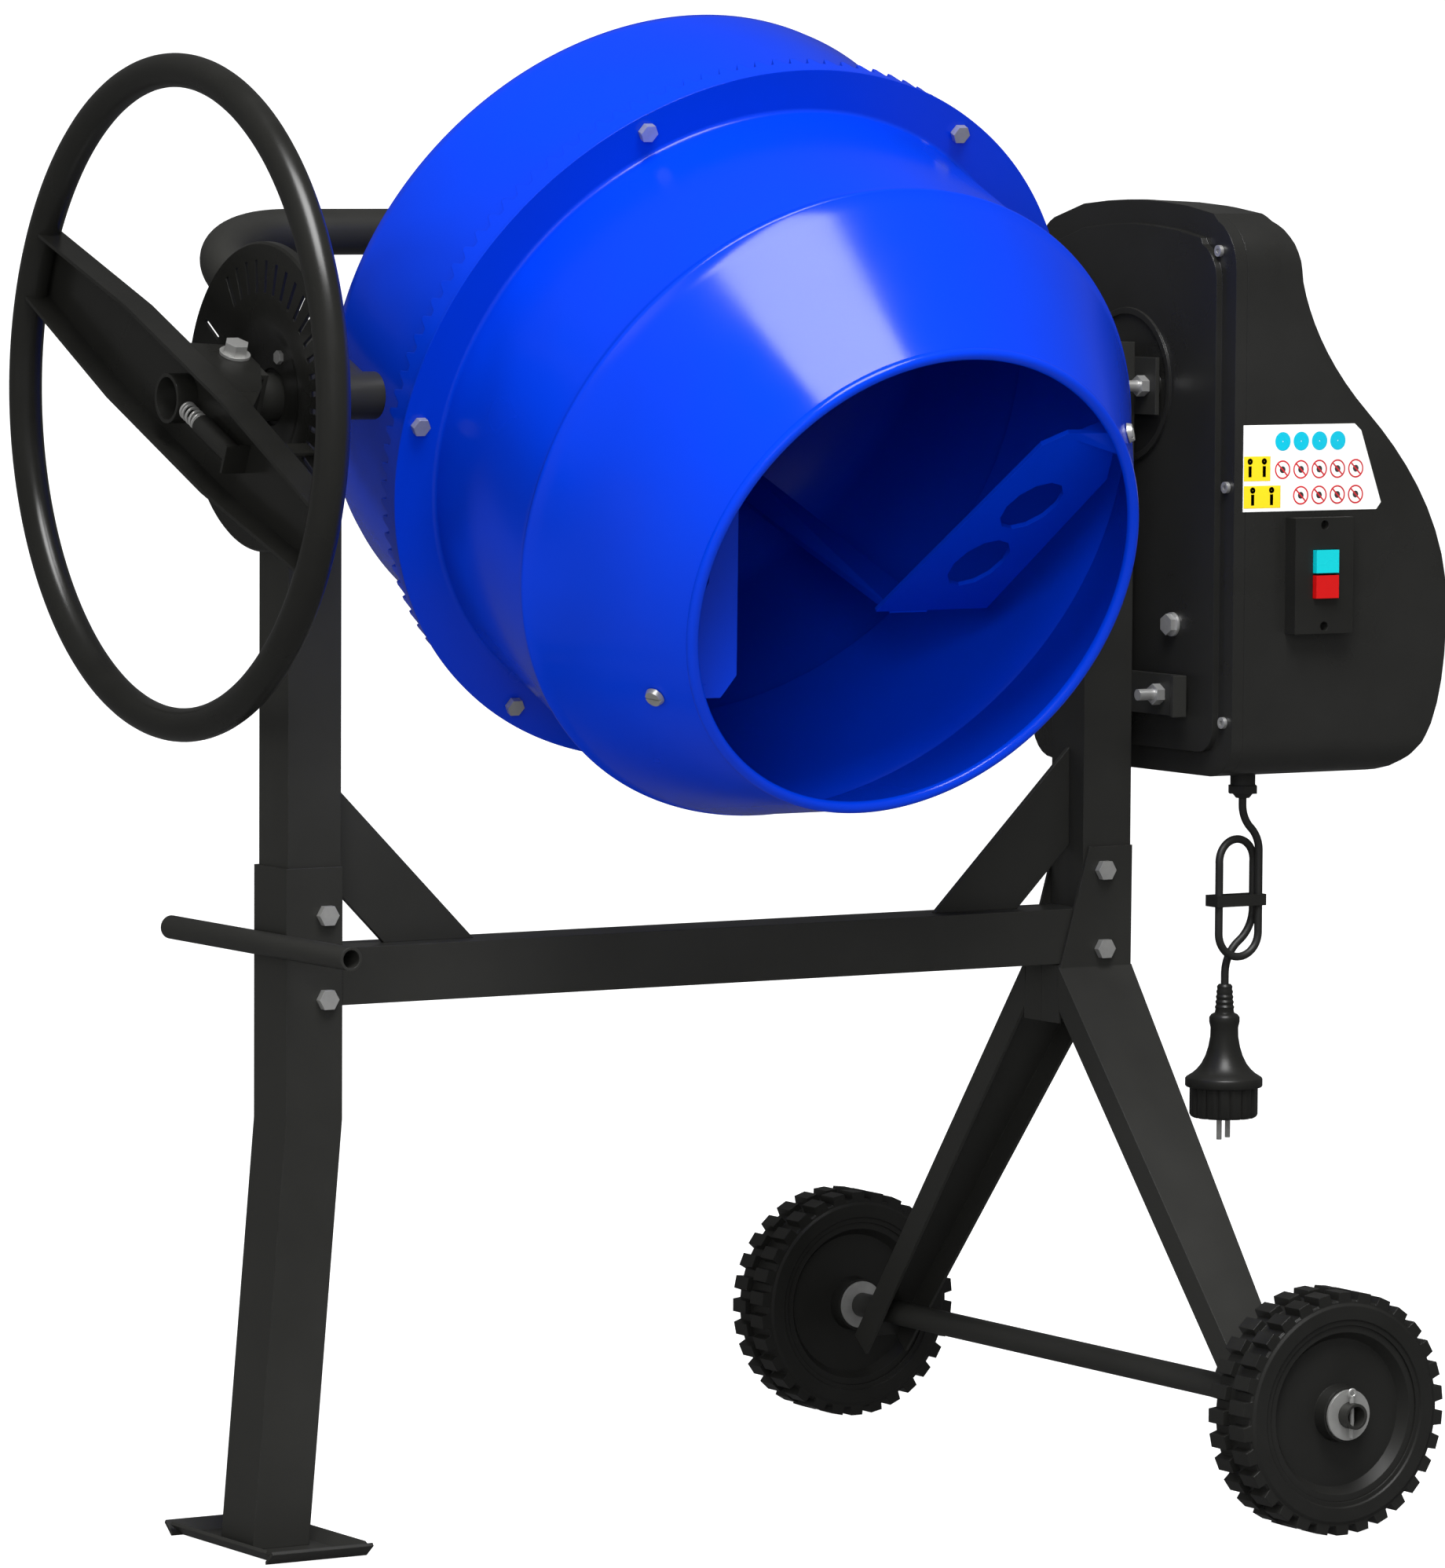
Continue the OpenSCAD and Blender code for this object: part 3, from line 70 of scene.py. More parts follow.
STAND_SHIFT = -0.069
TILT_HEIGHT = 0.957
DRUM_TILT = math.radians(23.74)
DRUM_SHIFT = -0.007


class Slot(Enum):
    """The record's material slots."""

    FRAME = "frame_paint"
    HANDWHEEL = "handwheel_paint"
    DRUM = "drum_blue"
    ZINC = "zinc"
    STEEL = "bare_steel"
    BRONZE = "bronze"
    CAST = "cast_pulley"
    MOTOR = "motor_paint"
    HOUSING = "housing_plastic"
    BLACK = "black_plastic"
    TYRE = "tyre_rubber"
    RUBBER = "black_rubber"
    LABEL = "label_film"
    TURQUOISE = "turquoise_plastic"
    RED = "red_plastic"


# ---------------------------------------------------------------- shared shader groups


class ShaderGroups:
    """Node groups that several finishes share, each built once."""

    def __init__(self) -> None:
        """Builds the three groups."""
        self.grain = self._grain()
        self.wear = self._wear()
        self.dust = self._dust()

    @staticmethod
    def _new(name: str, inputs: Sequence[tuple[str, str, float]],
             outputs: Sequence[tuple[str, str]]) -> tuple[bpy.types.NodeTree, bpy.types.Node, bpy.types.Node]:
        """Makes an empty group with its sockets.

        Args:
            name: the group's name.
            inputs: name, socket type and default of each input.
            outputs: name and socket type of each output.

        Returns:
            The tree with its input and output nodes.
        """
        tree = bpy.data.node_groups.new(name, "ShaderNodeTree")
        for label, kind, default in inputs:
            socket = tree.interface.new_socket(label, in_out="INPUT", socket_type=kind)
            if kind == "NodeSocketFloat":
                socket.default_value = default
        for label, kind in outputs:
            tree.interface.new_socket(label, in_out="OUTPUT", socket_type=kind)
        return tree, tree.nodes.new("NodeGroupInput"), tree.nodes.new("NodeGroupOutput")

    @staticmethod
    def noise(tree: bpy.types.NodeTree, vector: bpy.types.NodeSocket, scale: float,
              detail: float = 3.0, rough: float = 0.55) -> bpy.types.Node:
        """Adds a noise texture that reads the given vector."""
        node = tree.nodes.new("ShaderNodeTexNoise")
        node.inputs["Scale"].default_value = scale
        node.inputs["Detail"].default_value = detail
        node.inputs["Roughness"].default_value = rough
        tree.links.new(vector, node.inputs["Vector"])
        return node

    @staticmethod
    def math(tree: bpy.types.NodeTree, kind: str, a: object, b: object = 0.5) -> bpy.types.NodeSocket:
        """Adds a maths node; each operand is a socket or a number."""
        node = tree.nodes.new("ShaderNodeMath")
        node.operation = kind
        node.use_clamp = kind in {"MULTIPLY", "SUBTRACT"}
        for i, value in enumerate((a, b)):
            if isinstance(value, bpy.types.NodeSocket):
                tree.links.new(value, node.inputs[i])
            else:
                node.inputs[i].default_value = value
        return node.outputs[0]

    @staticmethod
    def ramp(tree: bpy.types.NodeTree, value: bpy.types.NodeSocket, low: float, high: float,
             to_low: object = 0.0, to_high: object = 1.0) -> bpy.types.NodeSocket:
        """Adds a clamped map from low..high to to_low..to_high."""
        node = tree.nodes.new("ShaderNodeMapRange")
        node.inputs["From Min"].default_value = low
        node.inputs["From Max"].default_value = high
        node.inputs["To Min"].default_value = to_low
        node.inputs["To Max"].default_value = to_high
        tree.links.new(value, node.inputs["Value"])
        return node.outputs["Result"]

    def _grain(self) -> bpy.types.NodeTree:
        """Fine height grain and a broad mottle, from two noises of object position."""
        tree, inn, out = self._new("surface_grain", [("Vector", "NodeSocketVector", 0.0),
                                                     ("Fine", "NodeSocketFloat", 600.0),
                                                     ("Broad", "NodeSocketFloat", 5.0)],
                                   [("Height", "NodeSocketFloat"), ("Mottle", "NodeSocketFloat")])
        fine = self.noise(tree, inn.outputs["Vector"], 600.0, 2.0)
        tree.links.new(inn.outputs["Fine"], fine.inputs["Scale"])
        broad = self.noise(tree, inn.outputs["Vector"], 5.0, 4.0)
        tree.links.new(inn.outputs["Broad"], broad.inputs["Scale"])
        tree.links.new(fine.outputs["Fac"], out.inputs["Height"])
        tree.links.new(self.ramp(tree, broad.outputs["Fac"], 0.32, 0.68), out.inputs["Mottle"])
        return tree

    def _wear(self) -> bpy.types.NodeTree:
        """Rounded-edge normal, and a worn-edge mask where that normal leaves the flat one."""
        tree, inn, out = self._new("edge_wear", [("Vector", "NodeSocketVector", 0.0),
                                                 ("Radius", "NodeSocketFloat", 0.001)],
                                   [("Mask", "NodeSocketFloat"), ("Normal", "NodeSocketVector")])
        bevel = tree.nodes.new("ShaderNodeBevel")
        bevel.samples = 4
        tree.links.new(inn.outputs["Radius"], bevel.inputs["Radius"])
        geometry = tree.nodes.new("ShaderNodeNewGeometry")
        dot = tree.nodes.new("ShaderNodeVectorMath")
        dot.operation = "DOT_PRODUCT"
        tree.links.new(bevel.outputs["Normal"], dot.inputs[0])
        tree.links.new(geometry.outputs["Normal"], dot.inputs[1])
        edge = self.ramp(tree, dot.outputs["Value"], 0.995, 0.8)
        patch = self.noise(tree, inn.outputs["Vector"], 55.0, 4.0, 0.7)
        rough = self.ramp(tree, patch.outputs["Fac"], 0.45, 0.7)
        tree.links.new(self.math(tree, "MULTIPLY", edge, rough), out.inputs["Mask"])
        tree.links.new(bevel.outputs["Normal"], out.inputs["Normal"])
        return tree

    def _dust(self) -> bpy.types.NodeTree:
        """Dust on faces that look up, broken up by noise."""
        tree, inn, out = self._new("settled_dust", [("Vector", "NodeSocketVector", 0.0),
                                                    ("Amount", "NodeSocketFloat", 0.1)],
                                   [("Mask", "NodeSocketFloat")])
        geometry = tree.nodes.new("ShaderNodeNewGeometry")
        parts = tree.nodes.new("ShaderNodeSeparateXYZ")
        tree.links.new(geometry.outputs["Normal"], parts.inputs[0])
        up = self.ramp(tree, parts.outputs["Z"], 0.2, 1.0, 0.15, 1.0)
        patch = self.noise(tree, inn.outputs["Vector"], 18.0, 6.0, 0.65)
        cloud = self.ramp(tree, patch.outputs["Fac"], 0.42, 0.75)
        both = self.math(tree, "MULTIPLY", up, cloud)
        tree.links.new(self.math(tree, "MULTIPLY", both, inn.outputs["Amount"]), out.inputs["Mask"])
        return tree


@dataclass(frozen=True)
class Finish:
    """One finish of the mixer and how it is shaded.

    Colours are linear. grain_depth is the bump's height in metres, edge the radius of the
    rounded edges in metres, and wear and dust are shares from 0 to 1.
    """

    slot: Slot
    base: Colour
    shade: Colour
    roughness: float
    metallic: float = 0.0
    coat: float = 0.0
    coat_roughness: float = 0.08
    specular: float = 0.5
    spread: float = 0.08
    fine: float = 700.0
    broad: float = 6.0
    grain_depth: float = 0.00002
    edge: float = 0.0008
    wear: float = 0.0
    worn: Colour = (0.2, 0.2, 0.2)
    dust: float = 0.02
    dust_colour: Colour = (0.2, 0.19, 0.17)

    def build(self, groups: ShaderGroups) -> bpy.types.Material:
        """Makes the finish's material.

        Args:
            groups: the shared shader groups.

        Returns:
            The new material, named after its slot.
        """
        material = bpy.data.materials.new(self.slot.value)
        material.use_nodes = True
        tree = material.node_tree
        tree.nodes.clear()
        link = tree.links.new
        place = tree.nodes.new("ShaderNodeTexCoord").outputs["Object"]
        grain = self._group(tree, groups.grain, place, Fine=self.fine, Broad=self.broad)
        wear = self._group(tree, groups.wear, place, Radius=self.edge)
        dust = self._group(tree, groups.dust, place, Amount=self.dust)
        tone = self._mix(tree, grain.outputs["Mottle"], self.base, self.shade)
        if self.wear > 0:
            mask = ShaderGroups.math(tree, "MULTIPLY", wear.outputs["Mask"], self.wear)
            tone = self._mix(tree, mask, tone, self.worn)
        tone = self._mix(tree, dust.outputs["Mask"], tone, self.dust_colour)
        shader = tree.nodes.new("ShaderNodeBsdfPrincipled")
        shader.inputs["Metallic"].default_value = self.metallic
        shader.inputs["Specular IOR Level"].default_value = self.specular
        shader.inputs["Coat Weight"].default_value = self.coat
        shader.inputs["Coat Roughness"].default_value = self.coat_roughness
        link(tone, shader.inputs["Base Color"])
        low, high = max(0.03, self.roughness - self.spread), min(1.0, self.roughness + self.spread)
        link(ShaderGroups.ramp(tree, grain.outputs["Mottle"], 0.0, 1.0, low, high),
             shader.inputs["Roughness"])
        bump = tree.nodes.new("ShaderNodeBump")
        bump.inputs["Strength"].default_value = 1.0
        bump.inputs["Distance"].default_value = self.grain_depth
        link(grain.outputs["Height"], bump.inputs["Height"])
        link(wear.outputs["Normal"], bump.inputs["Normal"])
        link(bump.outputs["Normal"], shader.inputs["Normal"])
        out = tree.nodes.new("ShaderNodeOutputMaterial")
        link(shader.outputs["BSDF"], out.inputs["Surface"])
        return material

    @staticmethod
    def _group(tree: bpy.types.NodeTree, group: bpy.types.NodeTree, place: bpy.types.NodeSocket,
               **values: float) -> bpy.types.Node:
        """Places a shared group in the material with its own values."""
        node = tree.nodes.new("ShaderNodeGroup")
        node.node_tree = group
        tree.links.new(place, node.inputs["Vector"])
        for name, value in values.items():
            node.inputs[name].default_value = value
        return node

    @staticmethod
    def _mix(tree: bpy.types.NodeTree, factor: bpy.types.NodeSocket, a: object,
             b: object) -> bpy.types.NodeSocket:
        """Mixes two colours, each a socket or a constant."""
        node = tree.nodes.new("ShaderNodeMix")
        node.data_type = "RGBA"
        tree.links.new(factor, node.inputs[0])
        for i, value in ((6, a), (7, b)):
            if isinstance(value, bpy.types.NodeSocket):
                tree.links.new(value, node.inputs[i])
            else:
                node.inputs[i].default_value = (*value, 1.0)
        return node.outputs[2]


FINISHES = (
    Finish(Slot.FRAME, (0.017, 0.017, 0.0155), (0.021, 0.021, 0.019), 0.42, specular=0.3,
           grain_depth=0.00003, fine=900.0, edge=0.0012, wear=0.25, worn=(0.08, 0.08, 0.075)),
    Finish(Slot.HANDWHEEL, (0.008, 0.008, 0.007), (0.011, 0.011, 0.010), 0.28, specular=0.4,
           grain_depth=0.00001, wear=0.15, worn=(0.06, 0.06, 0.06)),
    Finish(Slot.DRUM, (0.0, 0.034, 0.53), (0.0, 0.028, 0.49), 0.2, specular=0.26,
           grain_depth=0.00002, fine=300.0, broad=3.0, edge=0.001, dust=0.0),
    Finish(Slot.ZINC, (0.62, 0.62, 0.6), (0.5, 0.5, 0.49), 0.36, metallic=0.75, fine=1500.0,
           broad=60.0, grain_depth=0.00002, edge=0.0006, dust=0.0),
    Finish(Slot.STEEL, (0.5, 0.5, 0.49), (0.4, 0.4, 0.39), 0.3, metallic=1.0, fine=1500.0, broad=40.0),
    Finish(Slot.BRONZE, (0.5, 0.3, 0.12), (0.42, 0.25, 0.1), 0.32, metallic=1.0, broad=40.0),
    Finish(Slot.CAST, (0.16, 0.16, 0.165), (0.12, 0.12, 0.12), 0.55, metallic=0.6, grain_depth=0.00008),
    Finish(Slot.MOTOR, (0.08, 0.085, 0.09), (0.065, 0.07, 0.075), 0.4),
    Finish(Slot.HOUSING, (0.012, 0.012, 0.011), (0.015, 0.015, 0.014), 0.3, specular=0.45,
           fine=1400.0, broad=8.0, grain_depth=0.00004, edge=0.0012, dust=0.03),
    Finish(Slot.BLACK, (0.010, 0.010, 0.009), (0.014, 0.014, 0.013), 0.4, specular=0.3, fine=1400.0,
           grain_depth=0.00003, dust=0.03),
    Finish(Slot.TYRE, (0.008, 0.008, 0.007), (0.011, 0.011, 0.010), 0.42, specular=0.45, fine=900.0,
           grain_depth=0.00005, edge=0.0012, dust=0.05),
    Finish(Slot.RUBBER, (0.010, 0.010, 0.009), (0.014, 0.014, 0.013), 0.5, fine=1200.0),
    Finish(Slot.LABEL, (0.86, 0.86, 0.84), (0.8, 0.8, 0.78), 0.3, coat=0.3, dust=0.0, edge=0.0003),
    Finish(Slot.TURQUOISE, (0.0, 0.5, 0.54), (0.0, 0.45, 0.5), 0.3, coat=0.3, dust=0.0),
    Finish(Slot.RED, (0.5, 0.003, 0.003), (0.42, 0.003, 0.003), 0.3, coat=0.3, dust=0.0),
)


# ---------------------------------------------------------------- surfaces


def turn_about(axis: Sequence[float], angle: float) -> np.ndarray:
    """Rotation matrix about an axis through the origin, by an angle in radians."""
    return np.array(Matrix.Rotation(angle, 3, Vector(axis)))


def tilted_frame() -> tuple[np.ndarray, np.ndarray]:
    """Frame of the yoke: columns X, Y and Z of the tilted axes, and their origin."""
    return turn_about((1, 0, 0), DRUM_TILT), np.array([STAND_SHIFT, 0.0, TILT_HEIGHT])


def drum_frame() -> tuple[np.ndarray, np.ndarray]:
    """Frame of the drum: local Z runs along the drum axis towards the mouth."""
    axes, origin = tilted_frame()
    return axes @ turn_about((1, 0, 0), math.pi / 2), origin + axes @ np.array([DRUM_SHIFT, 0, 0])


def place(points: np.ndarray, frame: tuple[np.ndarray, np.ndarray]) -> np.ndarray:
    """Local points carried into the row frame: origin plus axes times point."""
    return points @ frame[0].T + frame[1]


def grid_shell(grid: np.ndarray, wrap_u: bool, wrap_v: bool, cap: bool = False) -> Shell:
    """Quads over a grid of points.

    Args:
        grid: points of shape (rows, columns, 3).
        wrap_u: joins the last row to the first.
        wrap_v: joins the last column to the first.
        cap: closes the first and last row with a face each.

    Returns:
        The points and the faces.
    """
    rows, cols = grid.shape[:2]
    i = np.arange(rows if wrap_u else rows - 1)[:, None]
    j = np.arange(cols if wrap_v else cols - 1)[None, :]
    i2, j2 = (i + 1) % rows, (j + 1) % cols
    faces = np.stack([i * cols + j, i2 * cols + j, i2 * cols + j2, i * cols + j2], -1)
    listed = faces.reshape(-1, 4).tolist()
    if cap:
        listed.append(list(range(cols))[::-1])
        listed.append(list(range((rows - 1) * cols, rows * cols)))
    return grid.reshape(-1, 3), listed


def merge(shells: Iterable[Shell]) -> Shell:
    """Several shells as one, with their face numbers moved on."""
    points, faces, start = [], [], 0
    for p, f in shells:
        points.append(p)
        faces += [[k + start for k in face] for face in f]
        start += len(p)
    return np.concatenate(points), faces


def revolve(profile: np.ndarray, steps: int, closed: bool) -> Shell:
    """A profile of radius and height turned about Z.

    A point (r, h) at angle a goes to (r cos a, r sin a, h).

    Args:
        profile: array of (radius, height) pairs.
        steps: number of steps round the axis.
        closed: whether the profile is a closed loop; an open one is capped.

    Returns:
        The surface.
    """
    a = np.linspace(0.0, 2 * math.pi, steps, endpoint=False)
    r, h = profile[:, 0][:, None], profile[:, 1][:, None]
    grid = np.stack([r * np.cos(a), r * np.sin(a), np.broadcast_to(h, (len(profile), steps))], -1)
    return grid_shell(grid, closed, True, cap=not closed)


def sweep(path: np.ndarray, radius: float, sides: int, up: Sequence[float] = (0, 1, 0)) -> Shell:
    """A round tube along a path: each ring lies across the path's own direction.

    Args:
        path: points along the centreline.
        radius: the tube's radius.
        sides: points in a ring.
        up: a direction that is never along the path.

    Returns:
        The tube, closed at both ends.
    """
    along = np.gradient(path, axis=0)
    along /= np.linalg.norm(along, axis=1, keepdims=True)
    u = np.cross(along, np.asarray(up, float))
    u /= np.linalg.norm(u, axis=1, keepdims=True)
    v = np.cross(along, u)
    a = np.linspace(0, 2 * math.pi, sides, endpoint=False)[None, :, None]
    grid = path[:, None] + radius * (u[:, None] * np.cos(a) + v[:, None] * np.sin(a))
    return grid_shell(grid, False, True, cap=True)


def arc(cx: float, cy: float, r: float, a0: float, a1: float, n: int) -> np.ndarray:
    """Points on a circle from a0 to a1 degrees, n steps."""
    a = np.radians(np.linspace(a0, a1, n + 1))
    return np.stack([cx + r * np.cos(a), cy + r * np.sin(a)], -1)


def make_piece(name: str, shell: Shell, body: str, finish: bpy.types.Material,
               replaces: Sequence[str] = (), angle: float = 35.0, smooth: bool = True) -> bpy.types.Object:
    """Puts a shell into the scene as a finished piece.

    Args:
        name: the piece's name.
        shell: points in the row frame and faces.
        body: the body it rides on.
        finish: its material.
        replaces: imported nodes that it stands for.
        angle: edges sharper than this many degrees stay sharp.
        smooth: whether the other edges are smooth.

    Returns:
        The object.
    """
    mesh = bpy.data.meshes.new(name)
    mesh.from_pydata(shell[0].tolist(), [], shell[1])
    work = bmesh.new()
    work.from_mesh(mesh)
    bmesh.ops.remove_doubles(work, verts=work.verts, dist=1e-6)
    bmesh.ops.recalc_face_normals(work, faces=work.faces)
    for face in work.faces:
        face.smooth = smooth
    limit = math.radians(angle)
    for edge in work.edges:
        edge.smooth = len(edge.link_faces) == 2 and edge.calc_face_angle(0.0) < limit
    work.to_mesh(mesh)
    work.free()
    piece = bpy.data.objects.new(name, mesh)
    bpy.context.scene.collection.objects.link(piece)
    mesh.materials.append(finish)
    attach(piece, body)
    if replaces:
        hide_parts(*replaces)
    log.info("piece %s: %d faces on %s", name, len(mesh.polygons), body)
    return piece


# ---------------------------------------------------------------- room


@dataclass
class Room:
    """Pale floor, soft light and the camera."""

    eye: Vector = field(default_factory=lambda: Vector((-3.8504, -6.1478, 1.1928)))
    heading: float = 31.6196
    pitch: float = 4.5338
    roll: float = 0.3139
    lens: float = 194.62
    shift: tuple[float, float] = (0.00753, 0.0004)

    def camera(self) -> None:
        """Places the camera: forward from heading and pitch, then rolled about it."""
        a, p, r = (math.radians(x) for x in (self.heading, self.pitch, self.roll))
        forward = Vector((math.sin(a) * math.cos(p), math.cos(a) * math.cos(p), -math.sin(p)))
        side = Vector((math.cos(a), -math.sin(a), 0.0))
        up = side.cross(forward)
        right = side * math.cos(r) + up * math.sin(r)
        top = up * math.cos(r) - side * math.sin(r)
        data = bpy.data.cameras.new("camera")
        data.lens, data.sensor_width = self.lens, 36.0
        data.shift_x, data.shift_y = self.shift
        data.clip_start, data.clip_end = 0.1, 100.0
        camera = bpy.data.objects.new("camera", data)
        bpy.context.scene.collection.objects.link(camera)
        axes = Matrix((right, top, -forward)).transposed().to_4x4()
        camera.matrix_world = Matrix.Translation(self.eye) @ axes
        bpy.context.scene.camera = camera

    def floor(self) -> None:
        """A wide floor that curves up far behind; it glows white for camera rays only and gloss skips it."""
        x = np.linspace(-14.0, 14.0, 2)
        y = np.concatenate([[-14.0], np.linspace(6.0, 12.0, 24)])
        z = np.where(y > 6.0, 6.0 - np.sqrt(np.maximum(36.0 - (y - 6.0) ** 2, 0.0)), 0.0)
        grid = np.stack([np.broadcast_to(x[None], (len(y), 2)), np.broadcast_to(y[:, None], (len(y), 2)),
                         np.broadcast_to(z[:, None], (len(y), 2))], -1)
        points, faces = grid_shell(grid - np.array([0, 0, 0.0005]), False, False)
        mesh = bpy.data.meshes.new("floor")
        mesh.from_pydata(points.tolist(), [], faces)
        for face in mesh.polygons:
            face.use_smooth = True
        material = bpy.data.materials.new("floor")
        material.use_nodes = True
        shader = material.node_tree.nodes["Principled BSDF"]
        shader.inputs["Base Color"].default_value = (0.42, 0.42, 0.42, 1.0)
        shader.inputs["Roughness"].default_value = 0.9
        shader.inputs["Specular IOR Level"].default_value = 0.0
        shader.inputs["Emission Color"].default_value = (1.0, 1.0, 1.0, 1.0)
        seen = material.node_tree.nodes.new("ShaderNodeLightPath").outputs["Is Camera Ray"]
        material.node_tree.links.new(seen, shader.inputs["Emission Strength"])
        mesh.materials.append(material)
        floor = bpy.data.objects.new("floor", mesh)
        bpy.context.scene.collection.objects.link(floor)
        floor.visible_glossy = False

    @staticmethod
    def lamp(name: str, at: Colour, target: Colour, size: float, power: float,
             mirrored: bool = True) -> None:
        """A square soft light at a place, aimed at a target; gloss shows it only where mirrored."""
        data = bpy.data.lights.new(name, "AREA")
        data.size, data.energy = size, power
        lamp = bpy.data.objects.new(name, data)
        lamp.visible_glossy = mirrored
        bpy.context.scene.collection.objects.link(lamp)
        lamp.location = at
        lamp.rotation_euler = (Vector(target) - Vector(at)).to_track_quat("-Z", "Y").to_euler()

    def light(self) -> None:
        """White surroundings, dimmer off camera, a key light above the front and two fill lights."""
        world = bpy.data.worlds.new("surroundings")
        bpy.context.scene.world = world
        world.use_nodes = True
        tree = world.node_tree
        shade = tree.nodes["Background"]
        shade.inputs["Color"].default_value = (1.0, 1.0, 1.0, 1.0)
        path = tree.nodes.new("ShaderNodeLightPath").outputs
        seen = ShaderGroups.ramp(tree, path["Is Camera Ray"], 0.0, 1.0, 0.55, 1.0)
        gloss = ShaderGroups.ramp(tree, path["Is Glossy Ray"], 0.0, 1.0, 0.0, 0.45)
        tree.links.new(ShaderGroups.math(tree, "SUBTRACT", seen, gloss), shade.inputs["Strength"])
        self.lamp("key_light", (-0.85, -2.2, 4.45), (0.0, 0.0, 0.9), 2.4, 280.0)
        self.lamp("front_light", (-3.6, -4.6, 2.2), (0.0, 0.0, 0.7), 2.6, 160.0, False)
        self.lamp("left_light", (-5.2, 0.2, 0.8), (0.0, 0.0, 0.8), 1.0, 60.0, False)
        bpy.context.scene.view_settings.view_transform = "Standard"

    def build(self) -> None:
        """Camera, floor and lights."""
        self.camera()
        self.floor()
        self.light()


# ---------------------------------------------------------------- lead


@dataclass
class Lead:
    """The short mains lead: out of the gland, folded once, down to the plug."""

    x: float = 0.4195
    y: float = -0.100
    low: float = 0.455
    diameter: float = 0.007
    exit_height: float = 0.598
    plug_top: float = 0.434

    def route(self) -> np.ndarray:
        """Centreline: straight stretches joined by circular bends, a point every 2 mm or so.

        The lead drops, sidesteps by two equal bends, turns half round at the bottom and at the
        top of the hank, sidesteps back and ends in the plug's sleeve.
        """
        mid, r = self.x - 0.003, 0.021
        right, left = mid + r, mid - r
        parts: list[np.ndarray] = []

        def go(points: np.ndarray, y0: float, y1: float) -> None:
            """Adds points (x, z) with y going evenly from y0 to y1."""
            y = np.linspace(y0, y1, len(points))
            parts.append(np.stack([points[:, 0], y, points[:, 1]], -1))

        def step(x0: float, x1: float, z0: float, bend: float) -> float:
            """Two equal and opposite bends from x0 to x1, going down from z0."""
            side = math.copysign(1.0, x1 - x0)
            turn = math.degrees(math.acos(1 - abs(x1 - x0) / 2 / bend))
            a = np.radians(np.linspace(0.0, turn, 14))
            first = np.stack([x0 + side * bend * (1 - np.cos(a)), z0 - bend * np.sin(a)], -1)
            last = np.stack([x1 - side * bend * (1 - np.cos(a)),
                             2 * first[-1, 1] - z0 + bend * np.sin(a)], -1)[::-1]
            go(np.concatenate([first, last[1:]]), back[0], back[0])
            return float(last[-1, 1])

        back = [self.y]
        bottom, top = self.low + 0.0245, self.low + 0.110 - 0.0245
        go(np.array([[self.x, self.exit_height], [self.x, 0.5935]]), self.y, self.y)
        z = step(self.x, right, 0.592, 0.028)
        go(np.stack([np.full(12, right), np.linspace(z - 0.002, bottom + 0.002, 12)], -1), self.y, self.y)
        go(arc(mid, bottom, r, 0, -180, 32), self.y, self.y)
        go(np.stack([np.full(12, left), np.linspace(bottom + 0.003, top - 0.003, 12)], -1), self.y, self.y)
        go(arc(mid, top, r, 180, 0, 32), self.y, self.y + 0.0085)
        back[0] = self.y + 0.0085
        go(np.stack([np.full(8, right), np.linspace(top - 0.004, 0.502, 8)], -1), back[0], back[0])
        z = step(right, self.x - 0.011, 0.500, 0.035)
        go(np.array([[self.x - 0.011, z - 0.003], [self.x - 0.011, self.plug_top - 0.004]]), back[0], back[0])
        return np.concatenate(parts)

    def build(self, finish: bpy.types.Material, plug: Sequence[bpy.types.Object]) -> bpy.types.Object:
        """Args:
            finish: the rubber material.
            plug: the pieces on its far end; not used.

        Returns:
            The lead.
        """
        path = self.route()
        piece = make_piece("mains_lead_cable", sweep(path, self.diameter / 2, 20), "stand", finish,
                           ("mains_lead", "lead_hank"))
        return piece


@dataclass
class Plug:
    """The two-pole plug's moulded body, with grip flutes round its front."""

    x: float = 0.4085
    y: float = -0.0915
    low: float = 0.317
    front: float = 0.030
    flange: float = 0.034
    flutes: int = 16

    def build(self, finish: bpy.types.Material) -> bpy.types.Object:
        """A turned profile whose front radius dips by 1.6 mm at each flute."""
        prof = np.array([[0.5, 0], [27.5, 0], [29, 1], [30, 3], [30, 26.5], [33.2, 27], [34, 28], [34, 34],
                         [33, 35.4], [28, 38.5], [24, 42], [20, 47], [16.5, 54], [14, 62], [12.4, 71],
                         [12.2, 79], [13.4, 84], [13.4, 88], [11.6, 90.5], [8.6, 92], [8, 95], [8.6, 97],
                         [7.4, 99], [8.2, 101.5], [7.1, 103.5], [7.8, 106], [6.8, 108], [7.4, 110.5],
                         [6.5, 112.5], [6.9, 115], [5.5, 117], [0.5, 117]]) / 1000.0
        steps = self.flutes * 10
        a = np.linspace(0, 2 * math.pi, steps, endpoint=False)
        dip = 0.0016 * np.maximum(0.0, np.cos(a * self.flutes)) ** 3
        fluted = ((prof[:, 1] < 0.0268) & (prof[:, 0] > 0.02))[:, None]
        r = prof[:, :1] - np.where(fluted, dip, 0.0)
        grid = np.stack([self.x + r * np.cos(a), self.y + r * np.sin(a),
                         np.broadcast_to(self.low + prof[:, 1:], (len(prof), steps))], -1)
        return make_piece("plug_moulding", grid_shell(grid, False, True, cap=True), "stand", finish,
                          ("plug_body",), angle=40.0)


# ---------------------------------------------------------------- drum


